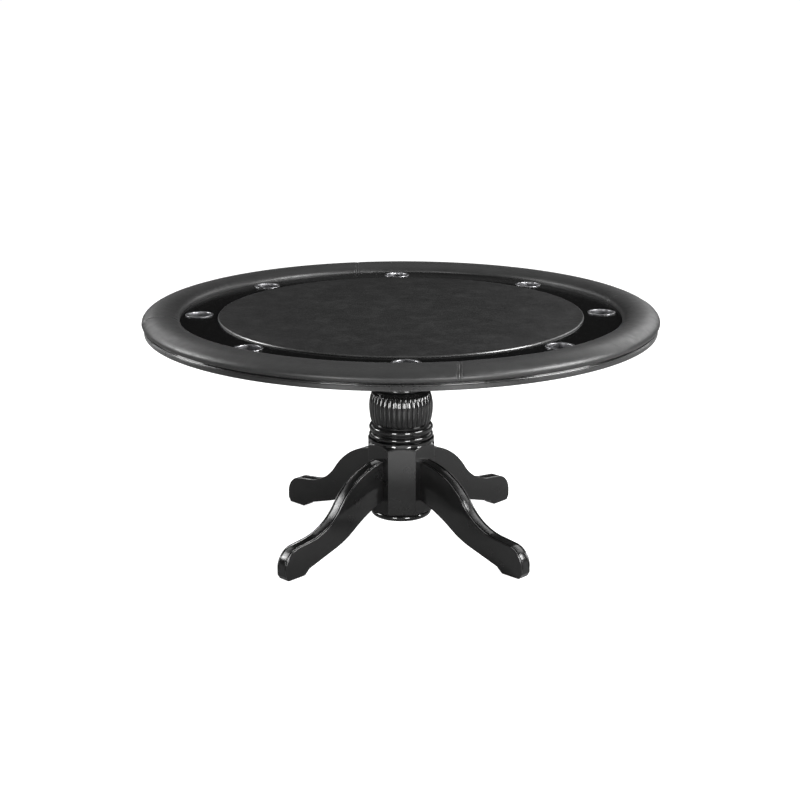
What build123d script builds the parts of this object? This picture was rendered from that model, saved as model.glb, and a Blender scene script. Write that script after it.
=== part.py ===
from build123d import *
import math
import os

# Round gaming table for eight players: a padded play field and a padded armrest on a lacquered
# racetrack ring with eight drop-in cup holders, carried by a turned, reeded pedestal on an
# octagonal post with four sabre legs.
# Millimetres, +Z up. The origin is on the floor under the axis of the pedestal, the front is -Y.

# ---------------------------------------------------------------- driving dimensions
TABLE_R = 762.0            # armrest at its widest, a 60 inch table
TOP_Z = 733.5              # crest of the armrest
PLAYERS = 8

# Levels of the table top
DECK_TOP_Z = 695.0
DECK_T = 18.0
RACETRACK_T = 12.0
RACETRACK_Z = DECK_TOP_Z + RACETRACK_T
PLAY_TOP_Z = 711.5
DECK_R = 744.0

# Armrest
RAIL_INNER_R = 652.0
RAIL_CREST_R = 700.0
RAIL_INNER_Z = 708.0       # where the inner side starts to curve over
RAIL_WIDEST_Z = 706.0
RAIL_COVER_T = 1.5
RAIL_CORE_INNER_R = 662.0
RAIL_CORE_OUTER_R = 748.0
RAIL_CORE_T = 16.0
RAIL_TURN_UNDER = 18.0     # how far the vinyl is turned in under the core

# The foam of the armrest and the apron are bent from four lengths each
LENGTHS = 4
FIRST_JOINT_ANGLE = 57.6

# Play field
PLAY_R = 541.0
PLAY_EDGE_R = 4.5
PLAY_COVER_T = 1.2
PLAY_BOARD_R = 537.0
PLAY_BOARD_T = 10.0
RACETRACK_GAP = 0.4        # between the play field and the lacquered ring

# Apron under the armrest
APRON_R = 756.0
APRON_BOTTOM_Z = 675.0
APRON_BAND_TOP_Z = 688.6
APRON_BEAD_R = 2.0
APRON_TOP_Z = 693.5
APRON_TOP_R = 751.0
APRON_CORNER_R = 2.5
APRON_BEVEL = 1.0

# Cup holders
CUP_CIRCLE_R = 598.0
CUP_FLANGE_R = 41.5
CUP_FLANGE_T = 2.2
CUP_MOUTH_R = 33.5
CUP_WALL = 1.2
CUP_BODY_R = CUP_MOUTH_R + CUP_WALL
CUP_BOTTOM_Z = 648.0
CUP_CORNER_R = 6.0
CUP_LIP_R = 1.8
CUP_HOLE_R = 36.0
CUP_DECK_HOLE_R = 38.0
CUP_LIFT_GAP = 0.3         # the flange rides this far above the lacquer

# Underframe
BEARER_W = 70.0
BEARER_T = 32.0
BEARER_HALF_LENGTH = 500.0
BEARER_BOTTOM_Z = DECK_TOP_Z - DECK_T - BEARER_T
TOP_PLATE_SIDE = 320.0
TOP_PLATE_T = 24.0
TOP_PLATE_Z = BEARER_BOTTOM_Z - TOP_PLATE_T
TOP_PLATE_CORNER_R = 30.0
TOP_PLATE_BEVEL = 6.0
BEARER_BEVEL = 14.0        # at the lower end corners of a bearer

# Turned pedestal, from the floor up
CAP_BOTTOM_Z = 81.0
CAP_BEAD_R = 10.0
CAP_R = 92.0
CAP_NECK_R = 88.0
CAP_BEVEL = 2.0
POST_BOTTOM_Z = 106.0
POST_TOP_Z = 318.0
POST_APOTHEM = 100.0
POST_INNER_APOTHEM = 74.0
POST_CEILING_Z = 290.0     # top of the hollow inside the post
POST_COLLAR_R = 100.6
POST_COLLAR_TOP_Z = 327.0
POST_COLLAR_BEVEL = 1.2
LOWER_RING_Z = 337.0
LOWER_RING_TUBE = 9.5
UPPER_RING_Z = 359.0
UPPER_RING_TUBE = 13.0
RING_R = 97.4
COLLAR_CORE_R = 90.0
URN_BOTTOM_Z = 372.5
URN_BOTTOM_R = 89.5
URN_WIDEST_Z = 426.0
URN_R = 97.2
URN_UPPER_ARC_R = 110.0
URN_TOP_Z = 479.0
URN_SHOULDER = (7.0, 4.0)  # radius and height of the bevel at its top
URN_REEDS = 36
REED_GROOVE_R = 5.2
REED_GROOVE_DEPTH = 3.0
REED_ARC_R = 128.0
REED_HALF_ARC = 21.0       # degrees each way from the widest level
NECK_BEAD_Z = 486.0
NECK_BEAD_TUBE = 6.0
NECK_BEAD_R = 82.0
NECK_R = 58.0
NECK_Z = 548.0
NECK_TOP_R = 112.0
NECK_HEAD_T = 14.0
NECK_HEAD_STEP = 12.0
NECK_FILLET = (6.0, 2.0)   # the small step above the bead

# Legs
LEG_T = 40.0
LEG_ANGLES = {"front_left": 225.0, "front_right": 315.0, "rear_left": 135.0, "rear_right": 45.0}
LEG_ROOT_TOP_Z = 271.0
LEG_KNEE_R = 247.0
LEG_INSTEP_R = 175.0
LEG_TOE_ARC_R = 58.0
LEG_STEEPEST = 54.0        # degrees below level, where knee and instep meet
LEG_START_SLOPE = 6.0
LEG_TOE_SLOPE = 7.0
LEG_TOE_RUN = 51.0
TOE_FRONT_Z = 16.0         # the toe stands upright above this level
TOE_FRONT_CUT = 9.0
FOOT_Z = 2.0               # underside of the foot, on its glide
HEEL_R = 423.0
HEEL_TOP = (404.0, 18.0)
SOLE_SLOPE = 17.0
SOLE_RUN = 108.7
CALF_LOWER_R = 286.0
CALF_UPPER_R = 502.0
CALF_LOWER_TURN = 17.4
CALF_UPPER_TURN = 16.6
LEG_BEAD_W = 5.0
LEG_GROOVE_W = 3.0
LEG_GROOVE_DEPTH = 2.5
LEG_ARRIS_R = 1.8
GLIDE_R = 14.0
GLIDE_CENTRE_R = 455.0
NAIL_R = 1.4
NAIL_LENGTH = 16.0

# Fasteners
M8_R = 4.0
LEG_BOLT_LEVELS = (180.0, 238.0)
LEG_BOLT_INNER = 56.0
LEG_BOLT_OUTER = 172.0
M8_WASHER_R = 12.0
M8_WASHER_T = 2.0
M8_NUT_AF = 13.0
M8_NUT_T = 6.5
M8_HEAD_T = 5.5
CLEARANCE = 0.6            # radial room of a bolt in its hole
TIE_ROD_R = 6.0
TIE_WASHER_R = 18.0
TIE_WASHER_T = 3.0
TIE_ROD_BELOW = 22.0       # how far the rod reaches below the ceiling of the post
TIE_ROD_ABOVE = 6.0        # and above the top plate, into the bearers
TIE_ROD_ROOM = 14.0
M12_NUT_AF = 19.0
M12_NUT_T = 10.0
COUNTERBORE_R = 21.0
COUNTERBORE_DEPTH = 15.0
PLATE_BOLT_X = 136.0       # along a bearer
PLATE_BOLT_Y = 18.0        # each side of the bearer's middle
PLATE_BOLT_LENGTH = 44.0
INSERT_R = 6.5
INSERT_T = 16.0
INSERT_BORE = 26.0
SCREW_R = 2.2
SCREW_HEAD_R = 4.2
SCREW_HEAD_T = 3.2
SCREW_HEAD_EDGE = 0.6
SCREW_TIP = 3.0
RAIL_SCREW = 32.0          # lengths of the wood screws
PLAY_SCREW = 26.0
RACETRACK_SCREW = 28.0
BEARER_SCREW = 46.0
CAP_SCREW = 50.0
RAIL_SCREW_CIRCLE_R = 705.0
PLAY_SCREW_CIRCLE_R = 410.0
CAP_SCREW_CIRCLE_R = 78.0
BEARER_SCREWS_X = (230.0, 340.0, 450.0)

CUP_ANGLES = [360.0 / PLAYERS * i for i in range(PLAYERS)]
BETWEEN_CUPS = [angle + 180.0 / PLAYERS for angle in CUP_ANGLES]
CROSS_ANGLES = (0, 90, 180, 270)
ON_FLOOR = (Align.CENTER, Align.CENTER, Align.MIN)
DECK_UNDERSIDE = Pos(0, 0, DECK_TOP_Z - DECK_T)


# ---------------------------------------------------------------- helpers
def turned(edges):
    """A solid of revolution about the Z axis; the closed outline is drawn as radius and height."""
    return revolve(Plane.XZ * make_face(edges), Axis.Z)


def outline_face(edges):
    """A flat face from the edges of one closed outline."""
    return make_face(edges)


def disc(radius, low, high):
    """An upright cylinder about the Z axis between two levels."""
    return Pos(0, 0, low) * Cylinder(radius, high - low, align=ON_FLOOR)


def tube(outer, inner, low, high):
    """An upright tube about the Z axis between two levels."""
    return disc(outer, low, high) - disc(inner, low, high)


def around(shape, angles, radius=0.0):
    """Copies of a shape, each moved out by a radius and turned to one of the angles in degrees."""
    return [Rot(0, 0, angle) * Pos(radius, 0, 0) * shape for angle in angles]


def ring_lengths(name, section):
    """The lengths of a ring with this cross-section, butted end to end, by node name."""
    length = revolve(Plane.XZ * section, Axis.Z, 360.0 / LENGTHS)
    turns = [FIRST_JOINT_ANGLE + 360.0 / LENGTHS * i for i in range(LENGTHS)]
    return {f"{name}_{i + 1}": Rot(0, 0, turn) * length for i, turn in enumerate(turns)}


def group(shapes):
    """Separate solids that belong to one node."""
    return Compound(children=[solid for shape in shapes for solid in shape.solids()])


def wood_screw(length):
    """A countersunk wood screw that stands on its head, point up."""
    return turned([
        Polyline((0, 0), (SCREW_HEAD_R, 0), (SCREW_HEAD_R, SCREW_HEAD_EDGE), (SCREW_R, SCREW_HEAD_T),
                 (SCREW_R, length - SCREW_TIP), (0, length), (0, 0)),
    ])


def hexagon(across_flats, thickness):
    """A hexagonal prism that stands on the XY plane."""
    return extrude(RegularPolygon(across_flats / 2, 6, major_radius=False), thickness)


def nut(across_flats, thickness, bore):
    """A hexagonal nut that stands on the XY plane."""
    return hexagon(across_flats, thickness) - disc(bore, 0, thickness)


def heading(start, degrees, length):
    """The point at a length from the start in a direction given in degrees."""
    return (
        start[0] + length * math.cos(math.radians(degrees)),
        start[1] + length * math.sin(math.radians(degrees)),
    )


def arc_from(start, degrees, radius, turn):
    """A plane arc that leaves the start in a direction and turns by a signed angle, in degrees."""
    return JernArc(start, heading((0, 0), degrees, 1), radius, turn)


def plane_point(position):
    """A point of a plane curve as a pair."""
    return (position.X, position.Y)


def quarter_ellipse(centre, across, height, start):
    """A quarter of an ellipse, anticlockwise from a start angle in degrees."""
    return EllipticalCenterArc(centre, across, height, start_angle=start, arc_size=90)


# ---------------------------------------------------------------- armrest
def rail_section(inset):
    """The cross-section of the armrest, drawn in by an inset, as radius and height."""
    inner = RAIL_INNER_R + inset
    widest = TABLE_R - inset
    bottom = DECK_TOP_Z + inset
    crest = TOP_Z - inset
    under_r = RAIL_WIDEST_Z - bottom
    return outline_face([
        Line((inner, bottom), (inner, RAIL_INNER_Z)),
        quarter_ellipse((RAIL_CREST_R, RAIL_INNER_Z), RAIL_CREST_R - inner, crest - RAIL_INNER_Z, 90),
        quarter_ellipse((RAIL_CREST_R, RAIL_WIDEST_Z), widest - RAIL_CREST_R, crest - RAIL_WIDEST_Z, 0),
        CenterArc((widest - under_r, RAIL_WIDEST_Z), under_r, 270, 90),
        Line((widest - under_r, bottom), (inner, bottom)),
    ])


def rectangle(left, right, low, high):
    """A rectangular face in radius and height."""
    return Pos((left + right) / 2, (low + high) / 2) * Rectangle(right - left, high - low)


def make_armrest():
    """The plywood core, the foam over it and the vinyl cover that is turned in underneath."""
    core_bottom = DECK_TOP_Z + RAIL_COVER_T
    core_section = rectangle(RAIL_CORE_INNER_R, RAIL_CORE_OUTER_R, core_bottom, core_bottom + RAIL_CORE_T)
    open_section = rectangle(
        RAIL_CORE_INNER_R + RAIL_TURN_UNDER,
        RAIL_CORE_OUTER_R - RAIL_TURN_UNDER,
        DECK_TOP_Z,
        core_bottom,
    )
    inside = rail_section(RAIL_COVER_T)
    cover_section = rail_section(0) - inside - open_section
    foam_section = inside - core_section
    screws = around(DECK_UNDERSIDE * wood_screw(RAIL_SCREW), BETWEEN_CUPS + CUP_ANGLES, RAIL_SCREW_CIRCLE_R)
    return {
        "rail_cover": revolve(Plane.XZ * cover_section, Axis.Z),
        **ring_lengths("rail_foam", foam_section),
        "rail_core": revolve(Plane.XZ * core_section, Axis.Z) - screws,
    }, screws


# ---------------------------------------------------------------- play field
def play_section(inset):
    """Half the cross-section of the play field, drawn in at its top and rim by an inset."""
    rim = PLAY_R - inset
    top = PLAY_TOP_Z - inset
    corner = PLAY_EDGE_R - inset
    return outline_face([
        Line((0, DECK_TOP_Z), (rim, DECK_TOP_Z)),
        Line((rim, DECK_TOP_Z), (rim, top - corner)),
        CenterArc((rim - corner, top - corner), corner, 0, 90),
        Line((rim - corner, top), (0, top)),
        Line((0, top), (0, DECK_TOP_Z)),
    ])


def make_play_field():
    """The board, its foam and the cover that wraps their edge."""
    board_section = rectangle(0, PLAY_BOARD_R, DECK_TOP_Z, DECK_TOP_Z + PLAY_BOARD_T)
    inside = play_section(PLAY_COVER_T)
    screws = around(DECK_UNDERSIDE * wood_screw(PLAY_SCREW), BETWEEN_CUPS, PLAY_SCREW_CIRCLE_R)
    return {
        "play_cover": revolve(Plane.XZ * (play_section(0) - inside), Axis.Z),
        "play_foam": revolve(Plane.XZ * (inside - board_section), Axis.Z),
        "play_board": revolve(Plane.XZ * board_section, Axis.Z) - screws,
    }, screws


# ---------------------------------------------------------------- racetrack, deck and apron
def make_racetrack():
    """The lacquered ring with the holes that the cup holders drop into."""
    ring = tube(RAIL_INNER_R, PLAY_R + RACETRACK_GAP, DECK_TOP_Z, RACETRACK_Z)
    holes = around(disc(CUP_HOLE_R, DECK_TOP_Z, RACETRACK_Z), CUP_ANGLES, CUP_CIRCLE_R)
    screws = around(DECK_UNDERSIDE * wood_screw(RACETRACK_SCREW), BETWEEN_CUPS, CUP_CIRCLE_R)
    return {"racetrack_ring": ring - holes - screws}, screws


def make_deck(screws):
    """The structural disc under everything, with room for the cups."""
    low = DECK_TOP_Z - DECK_T
    holes = around(disc(CUP_DECK_HOLE_R, low, DECK_TOP_Z), CUP_ANGLES, CUP_CIRCLE_R)
    return {"deck": disc(DECK_R, low, DECK_TOP_Z) - holes - screws}


def make_apron():
    """The bent band on the rim of the deck, with a fine bead along its upper edge."""
    bead_low = APRON_BAND_TOP_Z
    bead_high = bead_low + 2 * APRON_BEAD_R
    corner = APRON_CORNER_R
    shoulder = APRON_R - APRON_BEVEL
    section = outline_face([
        Line((DECK_R, APRON_BOTTOM_Z), (APRON_R - corner, APRON_BOTTOM_Z)),
        CenterArc((APRON_R - corner, APRON_BOTTOM_Z + corner), corner, 270, 90),
        Line((APRON_R, APRON_BOTTOM_Z + corner), (APRON_R, bead_low - APRON_BEVEL)),
        Line((APRON_R, bead_low - APRON_BEVEL), (shoulder, bead_low)),
        CenterArc((shoulder, bead_low + APRON_BEAD_R), APRON_BEAD_R, 270, 180),
        Line((shoulder, bead_high), (APRON_TOP_R, bead_high)),
        Line((APRON_TOP_R, bead_high), (APRON_TOP_R, APRON_TOP_Z)),
        Line((APRON_TOP_R, APRON_TOP_Z), (DECK_R, APRON_TOP_Z)),
        Line((DECK_R, APRON_TOP_Z), (DECK_R, APRON_BOTTOM_Z)),
    ])
    return ring_lengths("apron_band", section)


# ---------------------------------------------------------------- cup holders
def cup_holder():
    """One spun cup with a rolled flange, standing on the Z axis at its working height."""
    flange_low = RACETRACK_Z + CUP_LIFT_GAP
    flange_high = flange_low + CUP_FLANGE_T
    roll = CUP_FLANGE_T / 2
    lip = CUP_LIP_R
    inner_corner = CUP_CORNER_R - CUP_WALL
    floor = CUP_BOTTOM_Z + CUP_WALL
    return turned([
        Line((0, CUP_BOTTOM_Z), (CUP_BODY_R - CUP_CORNER_R, CUP_BOTTOM_Z)),
        CenterArc((CUP_BODY_R - CUP_CORNER_R, CUP_BOTTOM_Z + CUP_CORNER_R), CUP_CORNER_R, 270, 90),
        Line((CUP_BODY_R, CUP_BOTTOM_Z + CUP_CORNER_R), (CUP_BODY_R, flange_low)),
        Line((CUP_BODY_R, flange_low), (CUP_FLANGE_R - roll, flange_low)),
        CenterArc((CUP_FLANGE_R - roll, flange_low + roll), roll, 270, 180),
        Line((CUP_FLANGE_R - roll, flange_high), (CUP_MOUTH_R + lip, flange_high)),
        CenterArc((CUP_MOUTH_R + lip, flange_high - lip), lip, 90, 90),
        Line((CUP_MOUTH_R, flange_high - lip), (CUP_MOUTH_R, floor + inner_corner)),
        CenterArc((CUP_MOUTH_R - inner_corner, floor + inner_corner), inner_corner, 270, 90),
        Line((CUP_MOUTH_R - inner_corner, floor), (0, floor)),
        Line((0, floor), (0, CUP_BOTTOM_Z)),
    ])


def make_cup_holders():
    """One cup holder for each player, numbered anticlockwise from the right."""
    cups = around(cup_holder(), CUP_ANGLES, CUP_CIRCLE_R)
    return {f"cup_holder_{i + 1}": cup for i, cup in enumerate(cups)}


# ---------------------------------------------------------------- underframe
def plate_bolt_spots(shape):
    """Copies of a shape at the eight bolts that hold the top plate, two on each arm of the bearers."""
    pair = [Pos(PLATE_BOLT_X, side, 0) * shape for side in (-PLATE_BOLT_Y, PLATE_BOLT_Y)]
    return [Rot(0, 0, angle) * one for angle in CROSS_ANGLES for one in pair]


def make_plate_fasteners():
    """The bolts from below, their washers and the threaded inserts that they turn into."""
    head_low = TOP_PLATE_Z - M8_WASHER_T - M8_HEAD_T
    bolt = hexagon(M8_NUT_AF, M8_HEAD_T) + disc(M8_R, M8_HEAD_T, M8_HEAD_T + PLATE_BOLT_LENGTH)
    washer = tube(M8_WASHER_R, M8_R + CLEARANCE, TOP_PLATE_Z - M8_WASHER_T, TOP_PLATE_Z)
    insert = tube(INSERT_R, M8_R, BEARER_BOTTOM_Z, BEARER_BOTTOM_Z + INSERT_T)
    return {
        "plate_bolts": group(plate_bolt_spots(Pos(0, 0, head_low) * bolt)),
        "plate_bolt_washers": group(plate_bolt_spots(washer)),
        "threaded_inserts": group(plate_bolt_spots(insert)),
    }


def make_bearers(screws):
    """Two bearers, half-lapped where they cross."""
    blank = Pos(0, 0, BEARER_BOTTOM_Z) * Box(2 * BEARER_HALF_LENGTH, BEARER_W, BEARER_T, align=ON_FLOOR)
    blank = chamfer(blank.edges().filter_by(Axis.Y).group_by(Axis.Z)[0], BEARER_BEVEL)
    lap = Box(BEARER_W, BEARER_W, BEARER_T / 2, align=ON_FLOOR)
    rooms = plate_bolt_spots(disc(INSERT_R, BEARER_BOTTOM_Z, BEARER_BOTTOM_Z + INSERT_BORE))
    rooms.append(disc(TIE_WASHER_R + 1, BEARER_BOTTOM_Z, BEARER_BOTTOM_Z + TIE_ROD_ROOM))
    crosswise = blank - Pos(0, 0, BEARER_BOTTOM_Z + BEARER_T / 2) * lap
    lengthwise = Rot(0, 0, 90) * blank - Pos(0, 0, BEARER_BOTTOM_Z) * lap
    return {
        "bearer_crosswise": crosswise - rooms - screws,
        "bearer_lengthwise": lengthwise - rooms - screws,
    }


def make_top_plate():
    """The plate at the head of the pedestal, drilled for its bolts and for the tie rod's upper nut."""
    plate = Box(TOP_PLATE_SIDE, TOP_PLATE_SIDE, TOP_PLATE_T, align=ON_FLOOR)
    plate = fillet(plate.edges().filter_by(Axis.Z), TOP_PLATE_CORNER_R)
    plate = chamfer(plate.faces().sort_by(Axis.Z)[0].edges(), TOP_PLATE_BEVEL)
    plate = Pos(0, 0, TOP_PLATE_Z) * plate
    plate -= rod_hole(TOP_PLATE_Z, BEARER_BOTTOM_Z)
    plate -= disc(COUNTERBORE_R, BEARER_BOTTOM_Z - COUNTERBORE_DEPTH, BEARER_BOTTOM_Z)
    return plate - plate_bolt_spots(disc(M8_R + CLEARANCE, TOP_PLATE_Z, BEARER_BOTTOM_Z))


def make_underframe():
    """The bearers under the deck, the plate below them, and their fasteners."""
    screw = Pos(0, 0, BEARER_BOTTOM_Z) * wood_screw(BEARER_SCREW)
    screws = [one for radius in BEARER_SCREWS_X for one in around(screw, CROSS_ANGLES, radius)]
    return {
        **make_bearers(screws),
        "pedestal_top_plate": make_top_plate(),
        **make_plate_fasteners(),
        "bearer_screws": group(screws),
    }, screws


# ---------------------------------------------------------------- turned pedestal
def rod_hole(low, high):
    """The hole for the tie rod between two levels."""
    return disc(TIE_ROD_R + CLEARANCE, low, high)


def make_neck():
    """The turned neck: a bead on the urn, a long hollow curve and a spread head under the plate."""
    low = URN_TOP_Z
    bead_core = NECK_BEAD_R - NECK_BEAD_TUBE
    bead_low = NECK_BEAD_Z - NECK_BEAD_TUBE
    bead_high = NECK_BEAD_Z + NECK_BEAD_TUBE
    head_low = TOP_PLATE_Z - NECK_HEAD_T
    step_r = NECK_TOP_R - NECK_HEAD_STEP
    waist_start = (bead_core - NECK_FILLET[0], bead_high + NECK_FILLET[1])
    neck = turned([
        Line((0, low), (bead_core, low)),
        Line((bead_core, low), (bead_core, bead_low)),
        CenterArc((bead_core, NECK_BEAD_Z), NECK_BEAD_TUBE, 270, 180),
        Line((bead_core, bead_high), waist_start),
        ThreePointArc(waist_start, (NECK_R, NECK_Z), (step_r, head_low)),
        Line((step_r, head_low), (NECK_TOP_R, head_low)),
        Line((NECK_TOP_R, head_low), (NECK_TOP_R, TOP_PLATE_Z)),
        Line((NECK_TOP_R, TOP_PLATE_Z), (0, TOP_PLATE_Z)),
        Line((0, TOP_PLATE_Z), (0, low)),
    ])
    return {"neck_turning": neck - rod_hole(low, TOP_PLATE_Z)}


def make_urn():
    """The reeded urn: a full turned body with a groove between every two reeds."""
    shoulder_z = URN_TOP_Z - URN_SHOULDER[1]
    drop = shoulder_z - URN_WIDEST_Z
    shoulder_r = URN_R - URN_UPPER_ARC_R + math.sqrt(URN_UPPER_ARC_R**2 - drop**2)
    upper_mid = math.asin(drop / URN_UPPER_ARC_R) / 2
    upper_point = (
        URN_R - URN_UPPER_ARC_R + URN_UPPER_ARC_R * math.cos(upper_mid),
        URN_WIDEST_Z + URN_UPPER_ARC_R * math.sin(upper_mid),
    )
    body = turned([
        Line((0, URN_BOTTOM_Z), (URN_BOTTOM_R, URN_BOTTOM_Z)),
        TangentArc((URN_R, URN_WIDEST_Z), (URN_BOTTOM_R, URN_BOTTOM_Z), tangent=(0, -1)),
        ThreePointArc((URN_R, URN_WIDEST_Z), upper_point, (shoulder_r, shoulder_z)),
        Line((shoulder_r, shoulder_z), (shoulder_r - URN_SHOULDER[0], URN_TOP_Z)),
        Line((shoulder_r - URN_SHOULDER[0], URN_TOP_Z), (0, URN_TOP_Z)),
        Line((0, URN_TOP_Z), (0, URN_BOTTOM_Z)),
    ])
    groove_r = URN_R + REED_GROOVE_R - REED_GROOVE_DEPTH
    axis_r = groove_r - REED_ARC_R
    start = Pos(groove_r, 0, URN_WIDEST_Z) * Circle(REED_GROOVE_R)
    swing = Axis((axis_r, 0, URN_WIDEST_Z), (0, 1, 0))
    groove = revolve(start.rotate(swing, -REED_HALF_ARC), swing, 2 * REED_HALF_ARC)
    grooves = around(groove, [360.0 / URN_REEDS * i for i in range(URN_REEDS)])
    return {"reeded_urn": body - grooves - rod_hole(URN_BOTTOM_Z, URN_TOP_Z)}


def make_ring_collar():
    """The collar with two round mouldings between the post and the urn."""
    lower = (RING_R - LOWER_RING_TUBE, LOWER_RING_Z)
    upper = (RING_R - UPPER_RING_TUBE, UPPER_RING_Z)
    collar = disc(COLLAR_CORE_R, POST_COLLAR_TOP_Z, URN_BOTTOM_Z)
    for centre, size in ((lower, LOWER_RING_TUBE), (upper, UPPER_RING_TUBE)):
        collar += revolve(Plane.XZ * (Pos(*centre) * Circle(size)), Axis.Z)
    return {"ring_collar": collar - rod_hole(POST_COLLAR_TOP_Z, URN_BOTTOM_Z)}


def octagon(apothem, low, high):
    """An upright octagonal prism with a flat side to the front."""
    sketch = RegularPolygon(apothem, 8, major_radius=False, rotation=180 / 8)
    return Pos(0, 0, low) * extrude(sketch, high - low)


def make_post():
    """The hollow octagonal post: the legs bolt to its slanting sides from inside."""
    corner_r = POST_APOTHEM / math.cos(math.pi / 8)
    shoulder_z = POST_TOP_Z - (corner_r - POST_COLLAR_R)
    room = 5.0
    turning = turned([
        Polyline((0, POST_BOTTOM_Z), (corner_r + room, POST_BOTTOM_Z), (corner_r + room, shoulder_z - room),
                 (POST_COLLAR_R - 1, POST_TOP_Z), (0, POST_TOP_Z), (0, POST_BOTTOM_Z)),
    ])
    prism = octagon(POST_APOTHEM, POST_BOTTOM_Z, POST_TOP_Z) & turning
    edge = POST_COLLAR_BEVEL
    collar = turned([
        Polyline((0, POST_TOP_Z), (POST_COLLAR_R, POST_TOP_Z), (POST_COLLAR_R, POST_COLLAR_TOP_Z - edge),
                 (POST_COLLAR_R - edge, POST_COLLAR_TOP_Z), (0, POST_COLLAR_TOP_Z), (0, POST_TOP_Z)),
    ])
    post = prism + collar
    post -= octagon(POST_INNER_APOTHEM, POST_BOTTOM_Z, POST_CEILING_Z)
    post -= rod_hole(POST_CEILING_Z, POST_COLLAR_TOP_Z)
    through = Rot(0, 90, 0) * disc(M8_R + CLEARANCE, POST_INNER_APOTHEM - room, POST_APOTHEM + room)
    bolt_holes = [Rot(0, 0, angle) * Pos(0, 0, level) * through
                  for angle in LEG_ANGLES.values() for level in LEG_BOLT_LEVELS]
    return post - bolt_holes


def make_cap():
    """The turned cap that closes the bottom of the post, with its four screws."""
    bead = (CAP_R - CAP_BEAD_R, CAP_BOTTOM_Z + CAP_BEAD_R)
    top = CAP_BOTTOM_Z + 2 * CAP_BEAD_R
    cap = turned([
        Line((0, CAP_BOTTOM_Z), (bead[0], CAP_BOTTOM_Z)),
        CenterArc(bead, CAP_BEAD_R, 270, 180),
        Line((bead[0], top), (CAP_NECK_R - CAP_BEVEL, top)),
        Line((CAP_NECK_R - CAP_BEVEL, top), (CAP_NECK_R, top + CAP_BEVEL)),
        Line((CAP_NECK_R, top + CAP_BEVEL), (CAP_NECK_R, POST_BOTTOM_Z)),
        Line((CAP_NECK_R, POST_BOTTOM_Z), (0, POST_BOTTOM_Z)),
        Line((0, POST_BOTTOM_Z), (0, CAP_BOTTOM_Z)),
    ])
    screw = Pos(0, 0, CAP_BOTTOM_Z) * wood_screw(CAP_SCREW)
    screws = around(screw, CROSS_ANGLES, CAP_SCREW_CIRCLE_R)
    return cap - screws, screws


def make_pedestal():
    """Everything that is stacked on the tie rod, and the rod with its nuts and washers."""
    cap, cap_screws = make_cap()
    low_washer = tube(TIE_WASHER_R, TIE_ROD_R + CLEARANCE, POST_CEILING_Z - TIE_WASHER_T, POST_CEILING_Z)
    top_seat = BEARER_BOTTOM_Z - COUNTERBORE_DEPTH
    top_washer = tube(TIE_WASHER_R, TIE_ROD_R + CLEARANCE, top_seat, top_seat + TIE_WASHER_T)
    blank_nut = nut(M12_NUT_AF, M12_NUT_T, TIE_ROD_R)
    low_nut = Pos(0, 0, POST_CEILING_Z - TIE_WASHER_T - M12_NUT_T) * blank_nut
    top_nut = Pos(0, 0, top_seat + TIE_WASHER_T) * blank_nut
    return {
        **make_neck(),
        **make_urn(),
        **make_ring_collar(),
        "octagonal_post": make_post() - cap_screws,
        "bottom_cap": cap,
        "cap_screws": group(cap_screws),
        "tie_rod": disc(TIE_ROD_R, POST_CEILING_Z - TIE_ROD_BELOW, BEARER_BOTTOM_Z + TIE_ROD_ABOVE),
        "tie_rod_nuts": group([low_nut, top_nut]),
        "tie_rod_washers": group([low_washer, top_washer]),
    }


# ---------------------------------------------------------------- legs
def leg_side():
    """The side view of a leg as a face: X is the distance from the table's axis, Y the height."""
    root = (POST_APOTHEM, LEG_ROOT_TOP_Z)
    knee = arc_from(root, -LEG_START_SLOPE, LEG_KNEE_R, LEG_START_SLOPE - LEG_STEEPEST)
    instep = arc_from(plane_point(knee @ 1), -LEG_STEEPEST, LEG_INSTEP_R, LEG_STEEPEST - LEG_TOE_SLOPE)
    toe_start = heading(plane_point(instep @ 1), -LEG_TOE_SLOPE, LEG_TOE_RUN)
    toe = arc_from(toe_start, -LEG_TOE_SLOPE, LEG_TOE_ARC_R, LEG_TOE_SLOPE - 90)
    toe_end = plane_point(toe @ 1)
    sole_end = heading(HEEL_TOP, 180 - SOLE_SLOPE, SOLE_RUN)
    calf_low = arc_from(sole_end, 180 - SOLE_SLOPE, CALF_LOWER_R, -CALF_LOWER_TURN)
    calf_slope = 180 - SOLE_SLOPE - CALF_LOWER_TURN
    calf_high = arc_from(plane_point(calf_low @ 1), calf_slope, CALF_UPPER_R, CALF_UPPER_TURN)
    calf_end = plane_point(calf_high @ 1)
    back = POST_APOTHEM - 20
    face = outline_face([
        knee,
        instep,
        Line(plane_point(instep @ 1), toe_start),
        toe,
        Polyline(toe_end, (toe_end[0], TOE_FRONT_Z), (toe_end[0] - TOE_FRONT_CUT, FOOT_Z), (HEEL_R, FOOT_Z),
                 HEEL_TOP, sole_end),
        calf_low,
        calf_high,
        Polyline(calf_end, (back, calf_end[1]), (back, LEG_ROOT_TOP_Z), root),
    ])
    return face & rectangle(POST_APOTHEM, TABLE_R, 0, TABLE_R)


def leg_top_band(side):
    """The strip along the knee, the instep and the toe that the grooves are cut into."""
    strip = side - offset(side, -LEG_GROOVE_DEPTH)
    upper = outline_face([
        Polyline((POST_APOTHEM, 300), (POST_APOTHEM, 225), (230, 160), (330, 90), (430, 60), (480, 30),
                 (520, 30), (520, 300), (POST_APOTHEM, 300)),
    ])
    return strip & upper


def upright_slab(face, low, high):
    """A face in X and Z given a thickness along Y between two values."""
    return Pos(0, low, 0) * extrude(Plane.XZ * face, -(high - low))


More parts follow.
